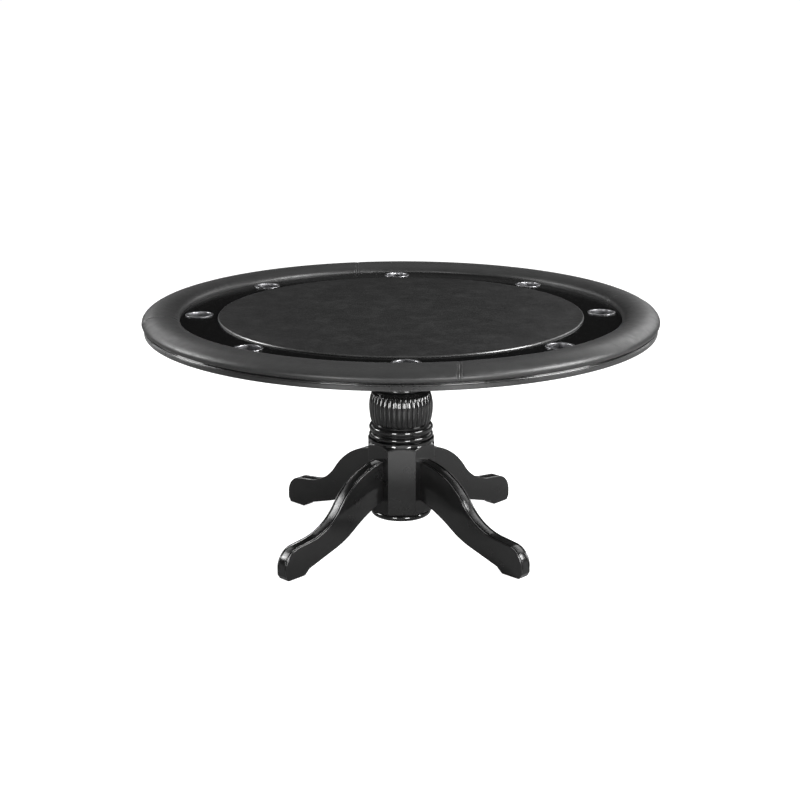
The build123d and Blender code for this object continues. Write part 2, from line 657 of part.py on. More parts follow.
def make_leg():
    """One leg along +X: a flat sawn blank with two grooves beside the beads of its top edge."""
    side = leg_side()
    half = LEG_T / 2
    leg = upright_slab(side, -half, half)
    root = leg.faces().sort_by(Axis.X)[0]
    along = [edge for edge in leg.edges() if edge.bounding_box().size.Y < 0.01]
    arrises = [edge for edge in along if edge.center().X > root.center().X + 1]
    leg = fillet(arrises, LEG_ARRIS_R)
    strip = leg_top_band(side)
    for low in (LEG_BEAD_W - half, half - LEG_BEAD_W - LEG_GROOVE_W):
        leg -= upright_slab(strip, low, low + LEG_GROOVE_W)
    bolt = Rot(0, 90, 0) * disc(M8_R, POST_APOTHEM - 5, LEG_BOLT_OUTER)
    leg -= [Pos(0, 0, level) * bolt for level in LEG_BOLT_LEVELS]
    return leg - Pos(GLIDE_CENTRE_R, 0, FOOT_Z) * disc(NAIL_R, 0, NAIL_LENGTH)


def make_legs():
    """Four legs on the slanting sides of the post, their bolts, washers, nuts and glides."""
    angles = list(LEG_ANGLES.values())
    lying = Rot(0, 90, 0)
    bolt = lying * disc(M8_R, LEG_BOLT_INNER, LEG_BOLT_OUTER)
    seat = POST_INNER_APOTHEM - M8_WASHER_T
    washer = lying * tube(M8_WASHER_R, M8_R + CLEARANCE, seat, POST_INNER_APOTHEM)
    bolt_nut = lying * (Pos(0, 0, seat - M8_NUT_T) * nut(M8_NUT_AF, M8_NUT_T, M8_R))
    spots = [(angle, level) for angle in angles for level in LEG_BOLT_LEVELS]
    glide = disc(GLIDE_R, 0, FOOT_Z) + disc(NAIL_R, FOOT_Z, FOOT_Z + NAIL_LENGTH)
    leg = make_leg()
    nodes = {f"leg_{name}": Rot(0, 0, angle) * leg for name, angle in LEG_ANGLES.items()}
    nodes["leg_hanger_bolts"] = group([Rot(0, 0, a) * Pos(0, 0, z) * bolt for a, z in spots])
    nodes["leg_bolt_washers"] = group([Rot(0, 0, a) * Pos(0, 0, z) * washer for a, z in spots])
    nodes["leg_bolt_nuts"] = group([Rot(0, 0, a) * Pos(0, 0, z) * bolt_nut for a, z in spots])
    nodes["foot_glides"] = group(around(glide, angles, GLIDE_CENTRE_R))
    return nodes


# ---------------------------------------------------------------- the whole table
def make_table():
    """Every node by name."""
    armrest, rail_screws = make_armrest()
    field, play_screws = make_play_field()
    racetrack, racetrack_screws = make_racetrack()
    underframe, bearer_screws = make_underframe()
    deck = make_deck(rail_screws + play_screws + racetrack_screws + bearer_screws)
    return {
        **armrest,
        **field,
        **racetrack,
        **deck,
        **make_apron(),
        **make_cup_holders(),
        **underframe,
        **make_pedestal(),
        **make_legs(),
        "rail_screws": group(rail_screws),
        "play_board_screws": group(play_screws),
        "racetrack_screws": group(racetrack_screws),
    }


os.makedirs("parts", exist_ok=True)
for node, shape in make_table().items():
    export_step(shape, f"parts/{node}.step")
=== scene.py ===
from math import acos, atan2, copysign, cos, degrees, dist, exp, hypot, pi, radians, sin, sqrt, tan

import bmesh
import bpy
import numpy as np
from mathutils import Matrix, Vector, noise


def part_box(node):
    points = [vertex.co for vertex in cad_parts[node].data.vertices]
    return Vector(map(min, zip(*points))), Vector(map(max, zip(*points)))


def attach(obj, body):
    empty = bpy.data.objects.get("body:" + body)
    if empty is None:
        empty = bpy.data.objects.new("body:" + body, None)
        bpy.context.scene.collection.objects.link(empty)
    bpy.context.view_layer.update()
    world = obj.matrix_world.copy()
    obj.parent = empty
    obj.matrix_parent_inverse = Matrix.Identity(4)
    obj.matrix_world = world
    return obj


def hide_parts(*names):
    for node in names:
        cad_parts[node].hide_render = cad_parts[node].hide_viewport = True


# Round gaming table in black and charcoal. Metres, +Z up, the front is -Y.

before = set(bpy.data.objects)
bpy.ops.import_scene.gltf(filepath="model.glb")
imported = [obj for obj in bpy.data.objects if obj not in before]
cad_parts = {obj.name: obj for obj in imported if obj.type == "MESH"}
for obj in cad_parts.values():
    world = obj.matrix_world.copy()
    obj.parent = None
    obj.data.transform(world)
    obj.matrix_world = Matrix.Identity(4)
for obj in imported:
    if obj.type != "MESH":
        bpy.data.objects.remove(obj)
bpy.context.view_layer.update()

PLAYERS = 8
CUP_NAMES = [f"cup_holder_{i + 1}" for i in range(PLAYERS)]
FOAM_NAMES = [f"rail_foam_{i + 1}" for i in range(4)]
APRON_NAMES = [f"apron_band_{i + 1}" for i in range(4)]
LEG_BEARINGS = {
    "leg_front_left": 225.0,
    "leg_front_right": 315.0,
    "leg_rear_left": 135.0,
    "leg_rear_right": 45.0,
}
SEAM_ANGLES = (11.0, 101.0, 191.0, 281.0)


# ---- levels and radii read from the frame
def outer_radius(node):
    """The outer radius of a round node about the table's axis."""
    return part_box(node)[1].x


def levels(node):
    """The lowest and the highest level of a node."""
    low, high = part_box(node)
    return low.z, high.z


RAIL_OUTER_R = outer_radius("rail_cover")
RAIL_INNER_R = outer_radius("racetrack_ring")
RAIL_BOTTOM, RAIL_TOP = levels("rail_cover")
PLAY_R = outer_radius("play_cover")
PLAY_BOTTOM, PLAY_TOP = levels("play_cover")
CUP_BOTTOM, CUP_TOP = levels("cup_holder_1")
CUP_LOW, CUP_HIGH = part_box("cup_holder_1")
CUP_CIRCLE_R = (CUP_LOW.x + CUP_HIGH.x) / 2
CUP_FLANGE_R = (CUP_HIGH.x - CUP_LOW.x) / 2
NECK_BOTTOM, NECK_TOP = levels("neck_turning")
NECK_HEAD_R = outer_radius("neck_turning")
URN_BOTTOM, URN_TOP = levels("reeded_urn")
URN_R = outer_radius("reeded_urn")
COLLAR_BOTTOM, COLLAR_TOP = levels("ring_collar")
COLLAR_R = outer_radius("ring_collar")
POST_BOTTOM, POST_TOP = levels("octagonal_post")
CAP_BOTTOM, CAP_TOP = levels("bottom_cap")
CAP_R = outer_radius("bottom_cap")


# ---- mesh helpers
def add_object(name, data):
    """A new object in the scene."""
    obj = bpy.data.objects.new(name, data)
    bpy.context.scene.collection.objects.link(obj)
    return obj


def make_object(name, verts, faces, smooth=True):
    """A mesh object in the scene, with normals that point outwards."""
    mesh = bpy.data.meshes.new(name)
    mesh.from_pydata([tuple(v) for v in verts], [], faces)
    obj = add_object(name, mesh)
    bm = bmesh.new()
    bm.from_mesh(mesh)
    bmesh.ops.recalc_face_normals(bm, faces=bm.faces)
    bm.to_mesh(mesh)
    bm.free()
    mesh.polygons.foreach_set("use_smooth", [smooth] * len(mesh.polygons))
    mesh.update()
    return obj


def grid_faces(rows, columns, wrap_rows=False, wrap_columns=False, first=0):
    """Quads over a grid of vertices that are numbered row by row."""
    faces = []
    for i in range(rows if wrap_rows else rows - 1):
        for j in range(columns if wrap_columns else columns - 1):
            low, high = i * columns, (i + 1) % rows * columns
            right = (j + 1) % columns
            faces.append((first + low + j, first + low + right, first + high + right, first + high + j))
    return faces


def arc(centre, radius, start, end, count, height=None):
    """Points of an arc between two angles in degrees, ends included; height makes it part of an ellipse."""
    tall = radius if height is None else height
    angles = np.radians(np.linspace(start, end, count))
    return [(centre[0] + radius * cos(a), centre[1] + tall * sin(a)) for a in angles]


def straight(start, end, count):
    """Points along a line, ends left out."""
    steps = [(i + 1) / (count + 1) for i in range(count)]
    return [(start[0] + (end[0] - start[0]) * t, start[1] + (end[1] - start[1]) * t) for t in steps]


def lathe(name, profile, segments, centre=(0.0, 0.0)):
    """A turned piece: the profile is a list of radius and height from the bottom to the top."""
    verts = []
    for radius, z in profile:
        for j in range(segments):
            a = 2 * pi * j / segments
            verts.append((centre[0] + radius * cos(a), centre[1] + radius * sin(a), z))
    faces = grid_faces(len(profile), segments, wrap_columns=True)
    faces += end_fans(verts, len(profile), segments, centre, (profile[0][1], profile[-1][1]))
    return make_object(name, verts, faces)


def end_fans(verts, rows, columns, centre, heights):
    """Closes the bottom and the top of a grid of rings, each with a fan about its middle."""
    faces = []
    for row, height in ((0, heights[0]), (rows - 1, heights[1])):
        middle = len(verts)
        verts.append((centre[0], centre[1], height))
        faces += [(middle, row * columns + j, row * columns + (j + 1) % columns) for j in range(columns)]
    return faces


def sharpen(obj, angle):
    """Marks edges sharper than an angle in degrees, so that flat faces stay flat beside smooth ones."""
    bm = bmesh.new()
    bm.from_mesh(obj.data)
    limit = radians(angle)
    for edge in bm.edges:
        if len(edge.link_faces) == 2 and edge.calc_face_angle(0.0) > limit:
            edge.smooth = False
    bm.to_mesh(obj.data)
    bm.free()
    obj.data.update()


def dress(obj, material, slot, *nodes, body="table"):
    """Gives a new piece its material and its body, and hides the CAD nodes that it stands for; slot is not
    used.
    """
    obj.data.materials.append(MATERIALS[material])
    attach(obj, body)
    if nodes:
        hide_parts(*nodes)


# ---- material helpers
class Shader:
    """One node material with a Principled shader and short calls for the nodes that feed it."""

    def __init__(self, name, **uniform):
        self.material = bpy.data.materials.new(name)
        self.material.use_nodes = True
        self.tree = self.material.node_tree
        self.shader = self.tree.nodes["Principled BSDF"]
        for socket, value in uniform.items():
            self.shader.inputs[socket.replace("_", " ")].default_value = value
        self.place = self.node("ShaderNodeTexCoord").outputs["Object"]

    def node(self, kind, **sockets):
        """A new node with values for its sockets."""
        made = self.tree.nodes.new(kind)
        for socket, value in sockets.items():
            made.inputs[socket.replace("_", " ")].default_value = value
        return made

    def link(self, output, socket):
        self.tree.links.new(output, socket)

    def stretched(self, scale):
        """Object coordinates scaled along each axis, so that a pattern runs with the grain."""
        mapping = self.node("ShaderNodeMapping", Scale=scale)
        self.link(self.place, mapping.inputs["Vector"])
        return mapping.outputs["Vector"]

    def noise(self, scale, detail=2.0, roughness=0.5, distortion=0.0, place=None):
        shape = {"Scale": scale, "Detail": detail, "Roughness": roughness, "Distortion": distortion}
        made = self.node("ShaderNodeTexNoise", **shape)
        self.link(self.place if place is None else place, made.inputs["Vector"])
        return made.outputs["Fac"]

    def cells(self, scale):
        """Distance to the edges of small cells, for pebbled leather and foam."""
        made = self.node("ShaderNodeTexVoronoi", Scale=scale)
        made.feature = "DISTANCE_TO_EDGE"
        self.link(self.place, made.inputs["Vector"])
        return made.outputs["Distance"]

    def spread(self, value, low, high, from_low=0.0, from_high=1.0):
        """Maps a value from one range to another."""
        limits = {"From_Min": from_low, "From_Max": from_high, "To_Min": low, "To_Max": high}
        made = self.node("ShaderNodeMapRange", **limits)
        self.link(value, made.inputs["Value"])
        return made.outputs["Result"]

    def colours(self, value, stops):
        """Colours along a value: stops is a list of place and colour."""
        ramp = self.node("ShaderNodeValToRGB")
        elements = ramp.color_ramp.elements
        while len(elements) < len(stops):
            elements.new(0.5)
        for element, (place, colour) in zip(elements, stops):
            element.position = place
            element.color = (*colour, 1.0)
        self.link(value, ramp.inputs["Fac"])
        self.link(ramp.outputs["Color"], self.shader.inputs["Base Color"])

    def roughness(self, value, low, high, from_low=0.3, from_high=0.7):
        self.link(self.spread(value, low, high, from_low, from_high), self.shader.inputs["Roughness"])

    def bump(self, height, strength, distance, below=None):
        """Bump from a height; below is the normal of a coarser bump that it stands on."""
        made = self.node("ShaderNodeBump", Strength=strength, Distance=distance)
        self.link(height, made.inputs["Height"])
        if below is not None:
            self.link(below, made.inputs["Normal"])
        self.link(made.outputs["Normal"], self.shader.inputs["Normal"])
        return made.outputs["Normal"]


def grey(level, warmth=0.0):
    """A grey of a linear level, a little warm or cool."""
    return (level * (1 + warmth), level, level * (1 - warmth))


# ---- materials
def rail_vinyl():
    """Charcoal upholstery vinyl with a fine pebbled grain and a soft sheen."""
    s = Shader("charcoal_rail_vinyl", Sheen_Weight=0.02, Sheen_Roughness=0.5, Specular_IOR_Level=0.34)
    mottle = s.noise(9.0, detail=5.0, roughness=0.6)
    s.colours(mottle, [(0.3, grey(0.010)), (0.7, grey(0.015))])
    wear = s.noise(38.0, detail=3.0)
    s.roughness(wear, 0.38, 0.46)
    pebbles = s.cells(820.0)
    creases = s.noise(160.0, detail=4.0, roughness=0.6)
    coarse = s.bump(creases, 0.18, 0.0006)
    s.bump(pebbles, 0.22, 0.00025, below=coarse)
    return s.material


def play_vinyl():
    """Matt charcoal leather-look vinyl of the play field, faintly mottled."""
    s = Shader("charcoal_play_vinyl", Specular_IOR_Level=0.15)
    mottle = s.noise(16.0, detail=7.0, roughness=0.62, distortion=0.4)
    s.colours(mottle, [(0.3, grey(0.009)), (0.52, grey(0.013)), (0.72, grey(0.020))])
    wear = s.noise(55.0, detail=3.0)
    s.roughness(wear, 0.46, 0.58)
    pebbles = s.cells(700.0)
    creases = s.noise(120.0, detail=5.0, roughness=0.65)
    coarse = s.bump(creases, 0.20, 0.0006)
    s.bump(pebbles, 0.22, 0.00025, below=coarse)
    return s.material


def play_edge_vinyl():
    """The play field's vinyl on the roll of its rim: glossier, with a flatter grain, and a little lighter in
    colour as a painted highlight.
    """
    s = Shader("charcoal_play_rim_highlight_vinyl", Specular_IOR_Level=0.8)
    # lighter than the field's top: a painted highlight on the rim
    s.colours(s.noise(16.0, detail=7.0, roughness=0.62), [(0.3, grey(0.014)), (0.75, grey(0.020))])
    s.roughness(s.noise(55.0, detail=3.0), 0.26, 0.34)
    s.bump(s.cells(700.0), 0.10, 0.0002)
    return s.material


def racetrack_lacquer():
    """High gloss black lacquer: nearly flat, with a faint orange peel and a trace of dust."""
    s = Shader("gloss_black_lacquer", Specular_IOR_Level=0.22)
    dust = s.noise(70.0, detail=4.0)
    s.colours(dust, [(0.35, grey(0.0022)), (0.75, grey(0.0034))])
    s.roughness(dust, 0.10, 0.18)
    s.bump(s.noise(140.0, detail=1.0), 0.03, 0.0004)
    return s.material


def black_wood(name, grain_scale, gloss=(0.26, 0.34), satin=0.12):
    """Black painted hardwood: the grain telegraphs through the paint as a fine bump."""
    s = Shader(name, Coat_Weight=1.0, Coat_Roughness=0.04, Specular_IOR_Level=satin)
    along = s.stretched(grain_scale)
    pores = s.noise(230.0, detail=2.0, place=along)
    cloud = s.noise(14.0, detail=3.0)
    s.colours(cloud, [(0.3, grey(0.0032)), (0.7, grey(0.0046))])
    s.roughness(cloud, *gloss)
    s.bump(pores, 0.045, 0.0003)
    return s.material


def painted_board():
    """Flat black paint on board, for the deck and what only shows from below."""
    s = Shader("black_painted_board", Specular_IOR_Level=0.35)
    cloud = s.noise(11.0, detail=5.0)
    s.colours(cloud, [(0.3, grey(0.010)), (0.7, grey(0.016))])
    s.roughness(s.noise(90.0, detail=3.0), 0.50, 0.66)
    s.bump(s.noise(420.0, detail=3.0), 0.15, 0.0003)
    return s.material


def plywood():
    """Bare plywood of the hidden cores, with lengthwise grain."""
    s = Shader("bare_plywood", Specular_IOR_Level=0.3)
    along = s.stretched((1.0, 9.0, 40.0))
    grain = s.noise(26.0, detail=5.0, distortion=0.8, place=along)
    s.colours(grain, [(0.3, (0.36, 0.25, 0.15)), (0.7, (0.52, 0.39, 0.25))])
    s.roughness(grain, 0.55, 0.7)
    s.bump(grain, 0.2, 0.0004)
    return s.material


def foam():
    """Grey open-cell foam."""
    s = Shader("grey_foam", Specular_IOR_Level=0.2)
    cells = s.cells(900.0)
    s.colours(s.noise(60.0), [(0.3, grey(0.20)), (0.7, grey(0.26))])
    s.roughness(cells, 0.85, 0.95, 0.0, 0.5)
    s.bump(cells, 0.5, 0.0006)
    return s.material


def cup_metal():
    """Dark gunmetal of the spun cups, with faint turning marks."""
    s = Shader("spun_gunmetal", Metallic=1.0)
    cloud = s.noise(60.0, detail=3.0)
    s.colours(cloud, [(0.3, (0.27, 0.27, 0.28)), (0.7, (0.36, 0.36, 0.37))])
    s.roughness(cloud, 0.28, 0.38)
    rings = s.noise(900.0, detail=2.0, place=s.stretched((0.02, 0.02, 1.0)))
    s.bump(rings, 0.012, 0.0002)
    return s.material


def steel():
    """Zinc-plated fasteners."""
    s = Shader("zinc_steel", Metallic=1.0)
    cloud = s.noise(260.0, detail=3.0)
    s.colours(cloud, [(0.3, (0.42, 0.43, 0.44)), (0.7, (0.55, 0.55, 0.54))])
    s.roughness(cloud, 0.26, 0.42)
    s.bump(s.noise(1500.0, detail=2.0), 0.08, 0.0002)
    return s.material


def glide_plastic():
    """Black moulded plastic of the foot glides."""
    s = Shader("black_glide_plastic", Specular_IOR_Level=0.4)
    s.colours(s.noise(220.0), [(0.3, grey(0.018)), (0.7, grey(0.026))])
    s.roughness(s.noise(500.0, detail=3.0), 0.45, 0.6)
    s.bump(s.cells(1600.0), 0.12, 0.0002)
    return s.material


def seam_thread():
    """Black bonded thread, with the twist of its strands."""
    s = Shader("seam_thread", Sheen_Weight=0.2, Specular_IOR_Level=0.4)
    s.colours(s.noise(1800.0), [(0.3, grey(0.012)), (0.7, grey(0.030))])
    s.roughness(s.noise(2500.0), 0.45, 0.65)
    s.bump(s.noise(3200.0, detail=1.0, place=s.stretched((1.0, 1.0, 2.5))), 0.4, 0.0003)
    return s.material


MATERIALS = {
    "rail": rail_vinyl(),
    "play": play_vinyl(),
    "play_edge": play_edge_vinyl(),
    "lacquer": racetrack_lacquer(),
    "turned": black_wood("black_turned_wood", (1.0, 1.0, 0.10)),
    "leg": black_wood("black_leg_wood", (0.25, 0.25, 0.6)),
    "band": black_wood("black_band_wood", (1.0, 1.0, 6.0), gloss=(0.26, 0.36), satin=0.4),
    "board": painted_board(),
    "plywood": plywood(),
    "foam": foam(),
    "cup": cup_metal(),
    "steel": steel(),
    "glide": glide_plastic(),
    "thread": seam_thread(),
}

FASTENER_ENDINGS = ("bolts", "washers", "nuts", "screws", "inserts", "rod")
NODE_MATERIALS = {
    "rail": ["rail_cover"],
    "play": ["play_cover"],
    "foam": [*FOAM_NAMES, "play_foam"],
    "plywood": ["rail_core", "play_board"],
    "lacquer": ["racetrack_ring"],
    "board": ["deck", "bearer_crosswise", "bearer_lengthwise", "pedestal_top_plate"],
    "band": APRON_NAMES,
    "turned": ["neck_turning", "reeded_urn", "ring_collar", "octagonal_post", "bottom_cap"],
    "leg": list(LEG_BEARINGS),
    "glide": ["foot_glides"],
    "cup": CUP_NAMES,
    "steel": [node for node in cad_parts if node.endswith(FASTENER_ENDINGS)],
}


def dress_cad_nodes():
    """Every CAD node gets its own material in place of the plain one it came with."""
    for key, nodes in NODE_MATERIALS.items():
        for node in nodes:
            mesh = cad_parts[node].data
            mesh.materials.clear()
            mesh.materials.append(MATERIALS[key])


# ---- cloth simulation
CLOTH_FRAMES = 20


def inflate(obj, held, pressure, stiffness, cap):
    """Fills a closed form with air pressure by cloth simulation; held is a weight for each vertex."""
    start = positions(obj)
    pins = obj.vertex_groups.new(name="held")
    for level in sorted(set(held)):
        if level > 0:
            pins.add([i for i, weight in enumerate(held) if weight == level], level, "REPLACE")
    cloth = obj.modifiers.new("cloth", "CLOTH")
    settings = cloth.settings
    settings.quality = 5
    settings.mass = 0.35
    settings.tension_stiffness = stiffness
    settings.compression_stiffness = stiffness
    settings.shear_stiffness = stiffness / 2
    settings.bending_stiffness = 0.6
    settings.vertex_group_mass = "held"
    settings.pin_stiffness = 1.0
    settings.use_pressure = True
    settings.uniform_pressure_force = pressure
    settings.shrink_min = -0.012
    settings.effector_weights.gravity = 0.0
    cloth.collision_settings.use_collision = False
    cloth.collision_settings.use_self_collision = False
    cloth.point_cache.frame_start = 1
    cloth.point_cache.frame_end = CLOTH_FRAMES
    scene = bpy.context.scene
    for number in range(1, CLOTH_FRAMES + 1):
        scene.frame_set(number)
    graph = bpy.context.evaluated_depsgraph_get()
    settled = positions(obj.evaluated_get(graph))
    obj.modifiers.remove(cloth)
    scene.frame_set(1)
    move = settled - start
    length = np.linalg.norm(move, axis=1, keepdims=True)
    move *= np.minimum(1.0, cap / np.maximum(length, 1e-9))
    set_positions(obj, start + move)


def positions(obj):
    """The vertices of an object as an array."""
    flat = np.zeros(len(obj.data.vertices) * 3)
    obj.data.vertices.foreach_get("co", flat)
    return flat.reshape(-1, 3)


def set_positions(obj, points):
    obj.data.vertices.foreach_set("co", np.asarray(points, float).ravel())
    obj.data.update()


def ripple(x, y, z, scale, seed):
    """Smooth noise from -1 to 1 at a point, in waves of about 1 / scale metres."""
    return noise.noise(Vector((x * scale + seed, y * scale - seed, z * scale + 2 * seed)))


# ---- armrest
RAIL_CREST_R = 0.700
RAIL_INNER_Z = 0.708
RAIL_WIDEST_Z = 0.706
RAIL_SHRINK = 0.0003       # the pad is drawn this much smaller, because it swells between its seams
RAIL_SWELL = 0.0030        # no point moves further than this
RAIL_SETTLING = 0.3        # the share of the simulated movement that stays once the cover has settled
RAIL_COLUMN = 0.0058       # spacing of the mesh round the crest
SEAM_OFFSETS = (0.0, 0.0008, 0.0016, 0.0026, 0.0038, 0.0050, 0.0062, 0.0074, 0.0088, 0.0110)
SEAM_DEPTH = 0.0014
SEAM_WIDTH = 0.0018
SEAM_SKEW = -0.31          # the seams lean from the radius by this much a metre
PULL_DEPTH = 0.0008        # the dip under the two rows of stitches
PULL_WIDTH = 0.0019
STITCH_OFFSET = 0.0062
STITCH_PITCH = 0.0068
STITCH_LENGTH = 0.0046
STITCH_R = 0.0005
PUCKER_DEPTH = 0.00022
SEAM_HOLD = 0.85           # how firmly the seams are held while the pad is filled
GATHER_REACH = 0.05        # puckers are deeper within this distance of a seam
FOLD_SCALE, BROAD_SCALE, PATCH_SCALE = 46.0, 7.0, 2.6


def rail_outline():
    """The armrest's closed cross-section as radius and height, from the inner foot over the crest."""
    inner, outer = RAIL_INNER_R + RAIL_SHRINK / 2, RAIL_OUTER_R - RAIL_SHRINK
    top = RAIL_TOP - RAIL_SHRINK
    under_r = RAIL_WIDEST_Z - RAIL_BOTTOM
    inner_foot, inner_top = (inner, RAIL_BOTTOM), (inner, RAIL_INNER_Z)
    rise_in, rise_out = top - RAIL_INNER_Z, top - RAIL_WIDEST_Z
    crest_in = arc((RAIL_CREST_R, RAIL_INNER_Z), RAIL_CREST_R - inner, 180, 90, 12, rise_in)
    crest_out = arc((RAIL_CREST_R, RAIL_WIDEST_Z), outer - RAIL_CREST_R, 90, 0, 15, rise_out)
    under = arc((outer - under_r, RAIL_WIDEST_Z), under_r, 0, -90, 7)
    return [inner_foot, *straight(inner_foot, inner_top, 2), *crest_in, *crest_out[1:], *under[1:],
            *straight(under[-1], inner_foot, 13)]


def rail_angles():
    """The angles of the armrest's columns: evenly spaced, and closer together beside each seam."""
    seams = [radians(a) for a in SEAM_ANGLES]
    near = sorted({sign * offset / RAIL_CREST_R for offset in SEAM_OFFSETS for sign in (-1, 1)})
    angles = []
    for index, seam in enumerate(seams):
        following = seams[(index + 1) % len(seams)] + (2 * pi if index + 1 == len(seams) else 0)
        angles += [seam + offset for offset in near]
        start, end = seam + near[-1], following + near[0]
        count = round((end - start) * RAIL_CREST_R / RAIL_COLUMN)
        angles += [start + (end - start) * (i + 1) / count for i in range(count - 1)]
    return angles


def seam_distance(angle):
    """How far an angle is from the nearest seam, in metres round the crest, signed."""
    turns = [(angle - radians(a) + pi) % (2 * pi) - pi for a in SEAM_ANGLES]
    return min(turns, key=abs) * RAIL_CREST_R


def make_rail_pad():
    """The armrest as one padded ring, filled by simulation, then sewn and puckered."""
    outline = rail_outline()
    angles = rail_angles()
    lean = {r: SEAM_SKEW * (r - RAIL_CREST_R) for r, z in outline}
    verts = [(r * cos(a + lean[r]), r * sin(a + lean[r]), z) for a in angles for r, z in outline]
    faces = grid_faces(len(angles), len(outline), wrap_rows=True, wrap_columns=True)
    pad = make_object("armrest_vinyl", verts, faces)
    held = []
    for a in angles:
        at_seam = abs(seam_distance(a)) < 1e-4
        for r, z in outline:
            tucked_in = z < RAIL_BOTTOM + 0.0005 or (r < RAIL_INNER_R + 0.001 and z < RAIL_INNER_Z)
            held.append(1.0 if tucked_in else SEAM_HOLD if at_seam else 0.0)
    drawn = positions(pad)
    inflate(pad, held, pressure=4.0, stiffness=18.0, cap=RAIL_SWELL)
    keep_section(pad, drawn, len(angles), len(outline))
    sew_rail(pad, angles, len(outline))
    make_rail_stitches(positions(pad), angles, len(outline))
    subdivide(pad)
    dress(pad, "rail", "rail_vinyl", "rail_cover", *FOAM_NAMES)


def keep_section(pad, drawn, columns, rows):
    """Takes the mean swelling off each line round the armrest, so that its section keeps its size."""
    before = drawn.reshape(columns, rows, 3)
    points = before + RAIL_SETTLING * (positions(pad).reshape(columns, rows, 3) - before)
    radius = np.hypot(points[..., 0], points[..., 1])
    swell = (radius - np.hypot(before[..., 0], before[..., 1])).mean(axis=0)
    points[..., 0:2] *= ((radius - swell) / radius)[..., None]
    points[..., 2] -= (points[..., 2] - before[..., 2]).mean(axis=0)
    set_positions(pad, points.reshape(-1, 3))


def sew_rail(pad, angles, count):
    """Draws the vinyl in at the seams and their stitches, and adds the slight radial puckers."""
    points = positions(pad).reshape(len(angles), count, 3)
    core = np.array([RAIL_CREST_R - 0.006, RAIL_WIDEST_Z])
    for i, a in enumerate(angles):
        off = abs(seam_distance(a))
        inward = SEAM_DEPTH * exp(-((off / SEAM_WIDTH) ** 2))
        inward += PULL_DEPTH * exp(-(((off - STITCH_OFFSET) / PULL_WIDTH) ** 2))
        for j in range(count):
            x, y, z = points[i, j]
            if z < RAIL_BOTTOM + 0.0015:
                continue
            radius = hypot(x, y)
            way = core - np.array([radius, z])
            way /= np.linalg.norm(way)
            gathered = 0.35 + 0.65 * exp(-((off / GATHER_REACH) ** 2))
            patch = max(0.0, ripple(cos(a), sin(a), 0.0, PATCH_SCALE, 3.1) + 0.15)
            fold = ripple(cos(a), sin(a), 0.12 * z, FOLD_SCALE, 5.3)
            broad = ripple(x, y, z, BROAD_SCALE, 1.7)
            deep = inward + PUCKER_DEPTH * gathered * (fold * (0.4 + patch) + 0.8 * broad)
            points[i, j, 0] += way[0] * deep * x / radius
            points[i, j, 1] += way[0] * deep * y / radius
            points[i, j, 2] += way[1] * deep
    set_positions(pad, points.reshape(-1, 3))


def subdivide(obj, level=1):
    """One smooth subdivision, applied."""
    made = obj.modifiers.new("smooth", "SUBSURF")
    made.levels = level
    made.render_levels = level
    graph = bpy.context.evaluated_depsgraph_get()
    mesh = bpy.data.meshes.new_from_object(obj.evaluated_get(graph))
    obj.modifiers.remove(made)
    old, name = obj.data, obj.data.name
    obj.data = mesh
    bpy.data.meshes.remove(old)
    mesh.name = name
    mesh.polygons.foreach_set("use_smooth", [True] * len(mesh.polygons))


def make_rail_stitches(pad_points, angles, count):
    """Two rows of stitches beside each seam, each stitch a short thread that dips at both ends."""
    pad_points = pad_points.reshape(len(angles), count, 3)
    verts, faces = [], []
    for seam in SEAM_ANGLES:
        for side in (-1, 1):
            angle = radians(seam) + side * STITCH_OFFSET / RAIL_CREST_R
            row = seam_row(pad_points, angles, angle)
            for start, end, out in stitch_spans(row):
                add_thread(verts, faces, start, end, out)
    dress(make_object("armrest_stitches", verts, faces), "thread", "rail_vinyl")


def seam_row(points, angles, angle):
    """The armrest's surface along one angle, from the inner side over the crest to below the edge."""
    spans = [(angle - a) % (2 * pi) for a in angles]
    low = min(range(len(angles)), key=lambda i: spans[i])
    high = (low + 1) % len(angles)
    gap = (angles[high] - angles[low]) % (2 * pi)
    t = spans[low] / gap
    row = points[low] * (1 - t) + points[high] * t
    return row[2:35]


def stitch_spans(row):
    """Start, end and outward direction of each stitch along a row of surface points."""
    steps = [0.0]
    for first, second in zip(row, row[1:]):
        steps.append(steps[-1] + float(np.linalg.norm(second - first)))
    centre = np.array([row[14][0], row[14][1], RAIL_WIDEST_Z])
    spans = []
    for number in range(int(steps[-1] / STITCH_PITCH)):
        low = number * STITCH_PITCH + 0.001
        start, end = along(row, steps, low), along(row, steps, low + STITCH_LENGTH)
        out = (start + end) / 2 - centre
        spans.append((start, end, out / np.linalg.norm(out)))
    return spans


def along(row, steps, distance):
    """The point at a distance along a row of points."""
    index = max(i for i, step in enumerate(steps[:-1]) if step <= distance)
    t = (distance - steps[index]) / (steps[index + 1] - steps[index])
    return row[index] * (1 - min(t, 1.0)) + row[index + 1] * min(t, 1.0)


def add_thread(verts, faces, start, end, out, rings=7, sides=8):
    """A thread from start to end that stands out in its middle and sinks in at its ends."""
    first = len(verts)
    ahead = (end - start) / np.linalg.norm(end - start)
    across = np.cross(ahead, out)
    for i in range(rings):
        t = i / (rings - 1)
        rise = STITCH_R * (1.5 * sin(pi * t) - 0.7)
        thick = STITCH_R * (0.35 + 0.65 * sin(pi * t) ** 0.5)
        middle = start + (end - start) * t + out * rise
        for k in range(sides):
            a = 2 * pi * k / sides
            verts.append(middle + (across * cos(a) + out * sin(a)) * thick)
    faces += grid_faces(rings, sides, wrap_columns=True, first=first)
    faces.append(tuple(first + k for k in range(sides)))
    faces.append(tuple(first + (rings - 1) * sides + k for k in range(sides)))


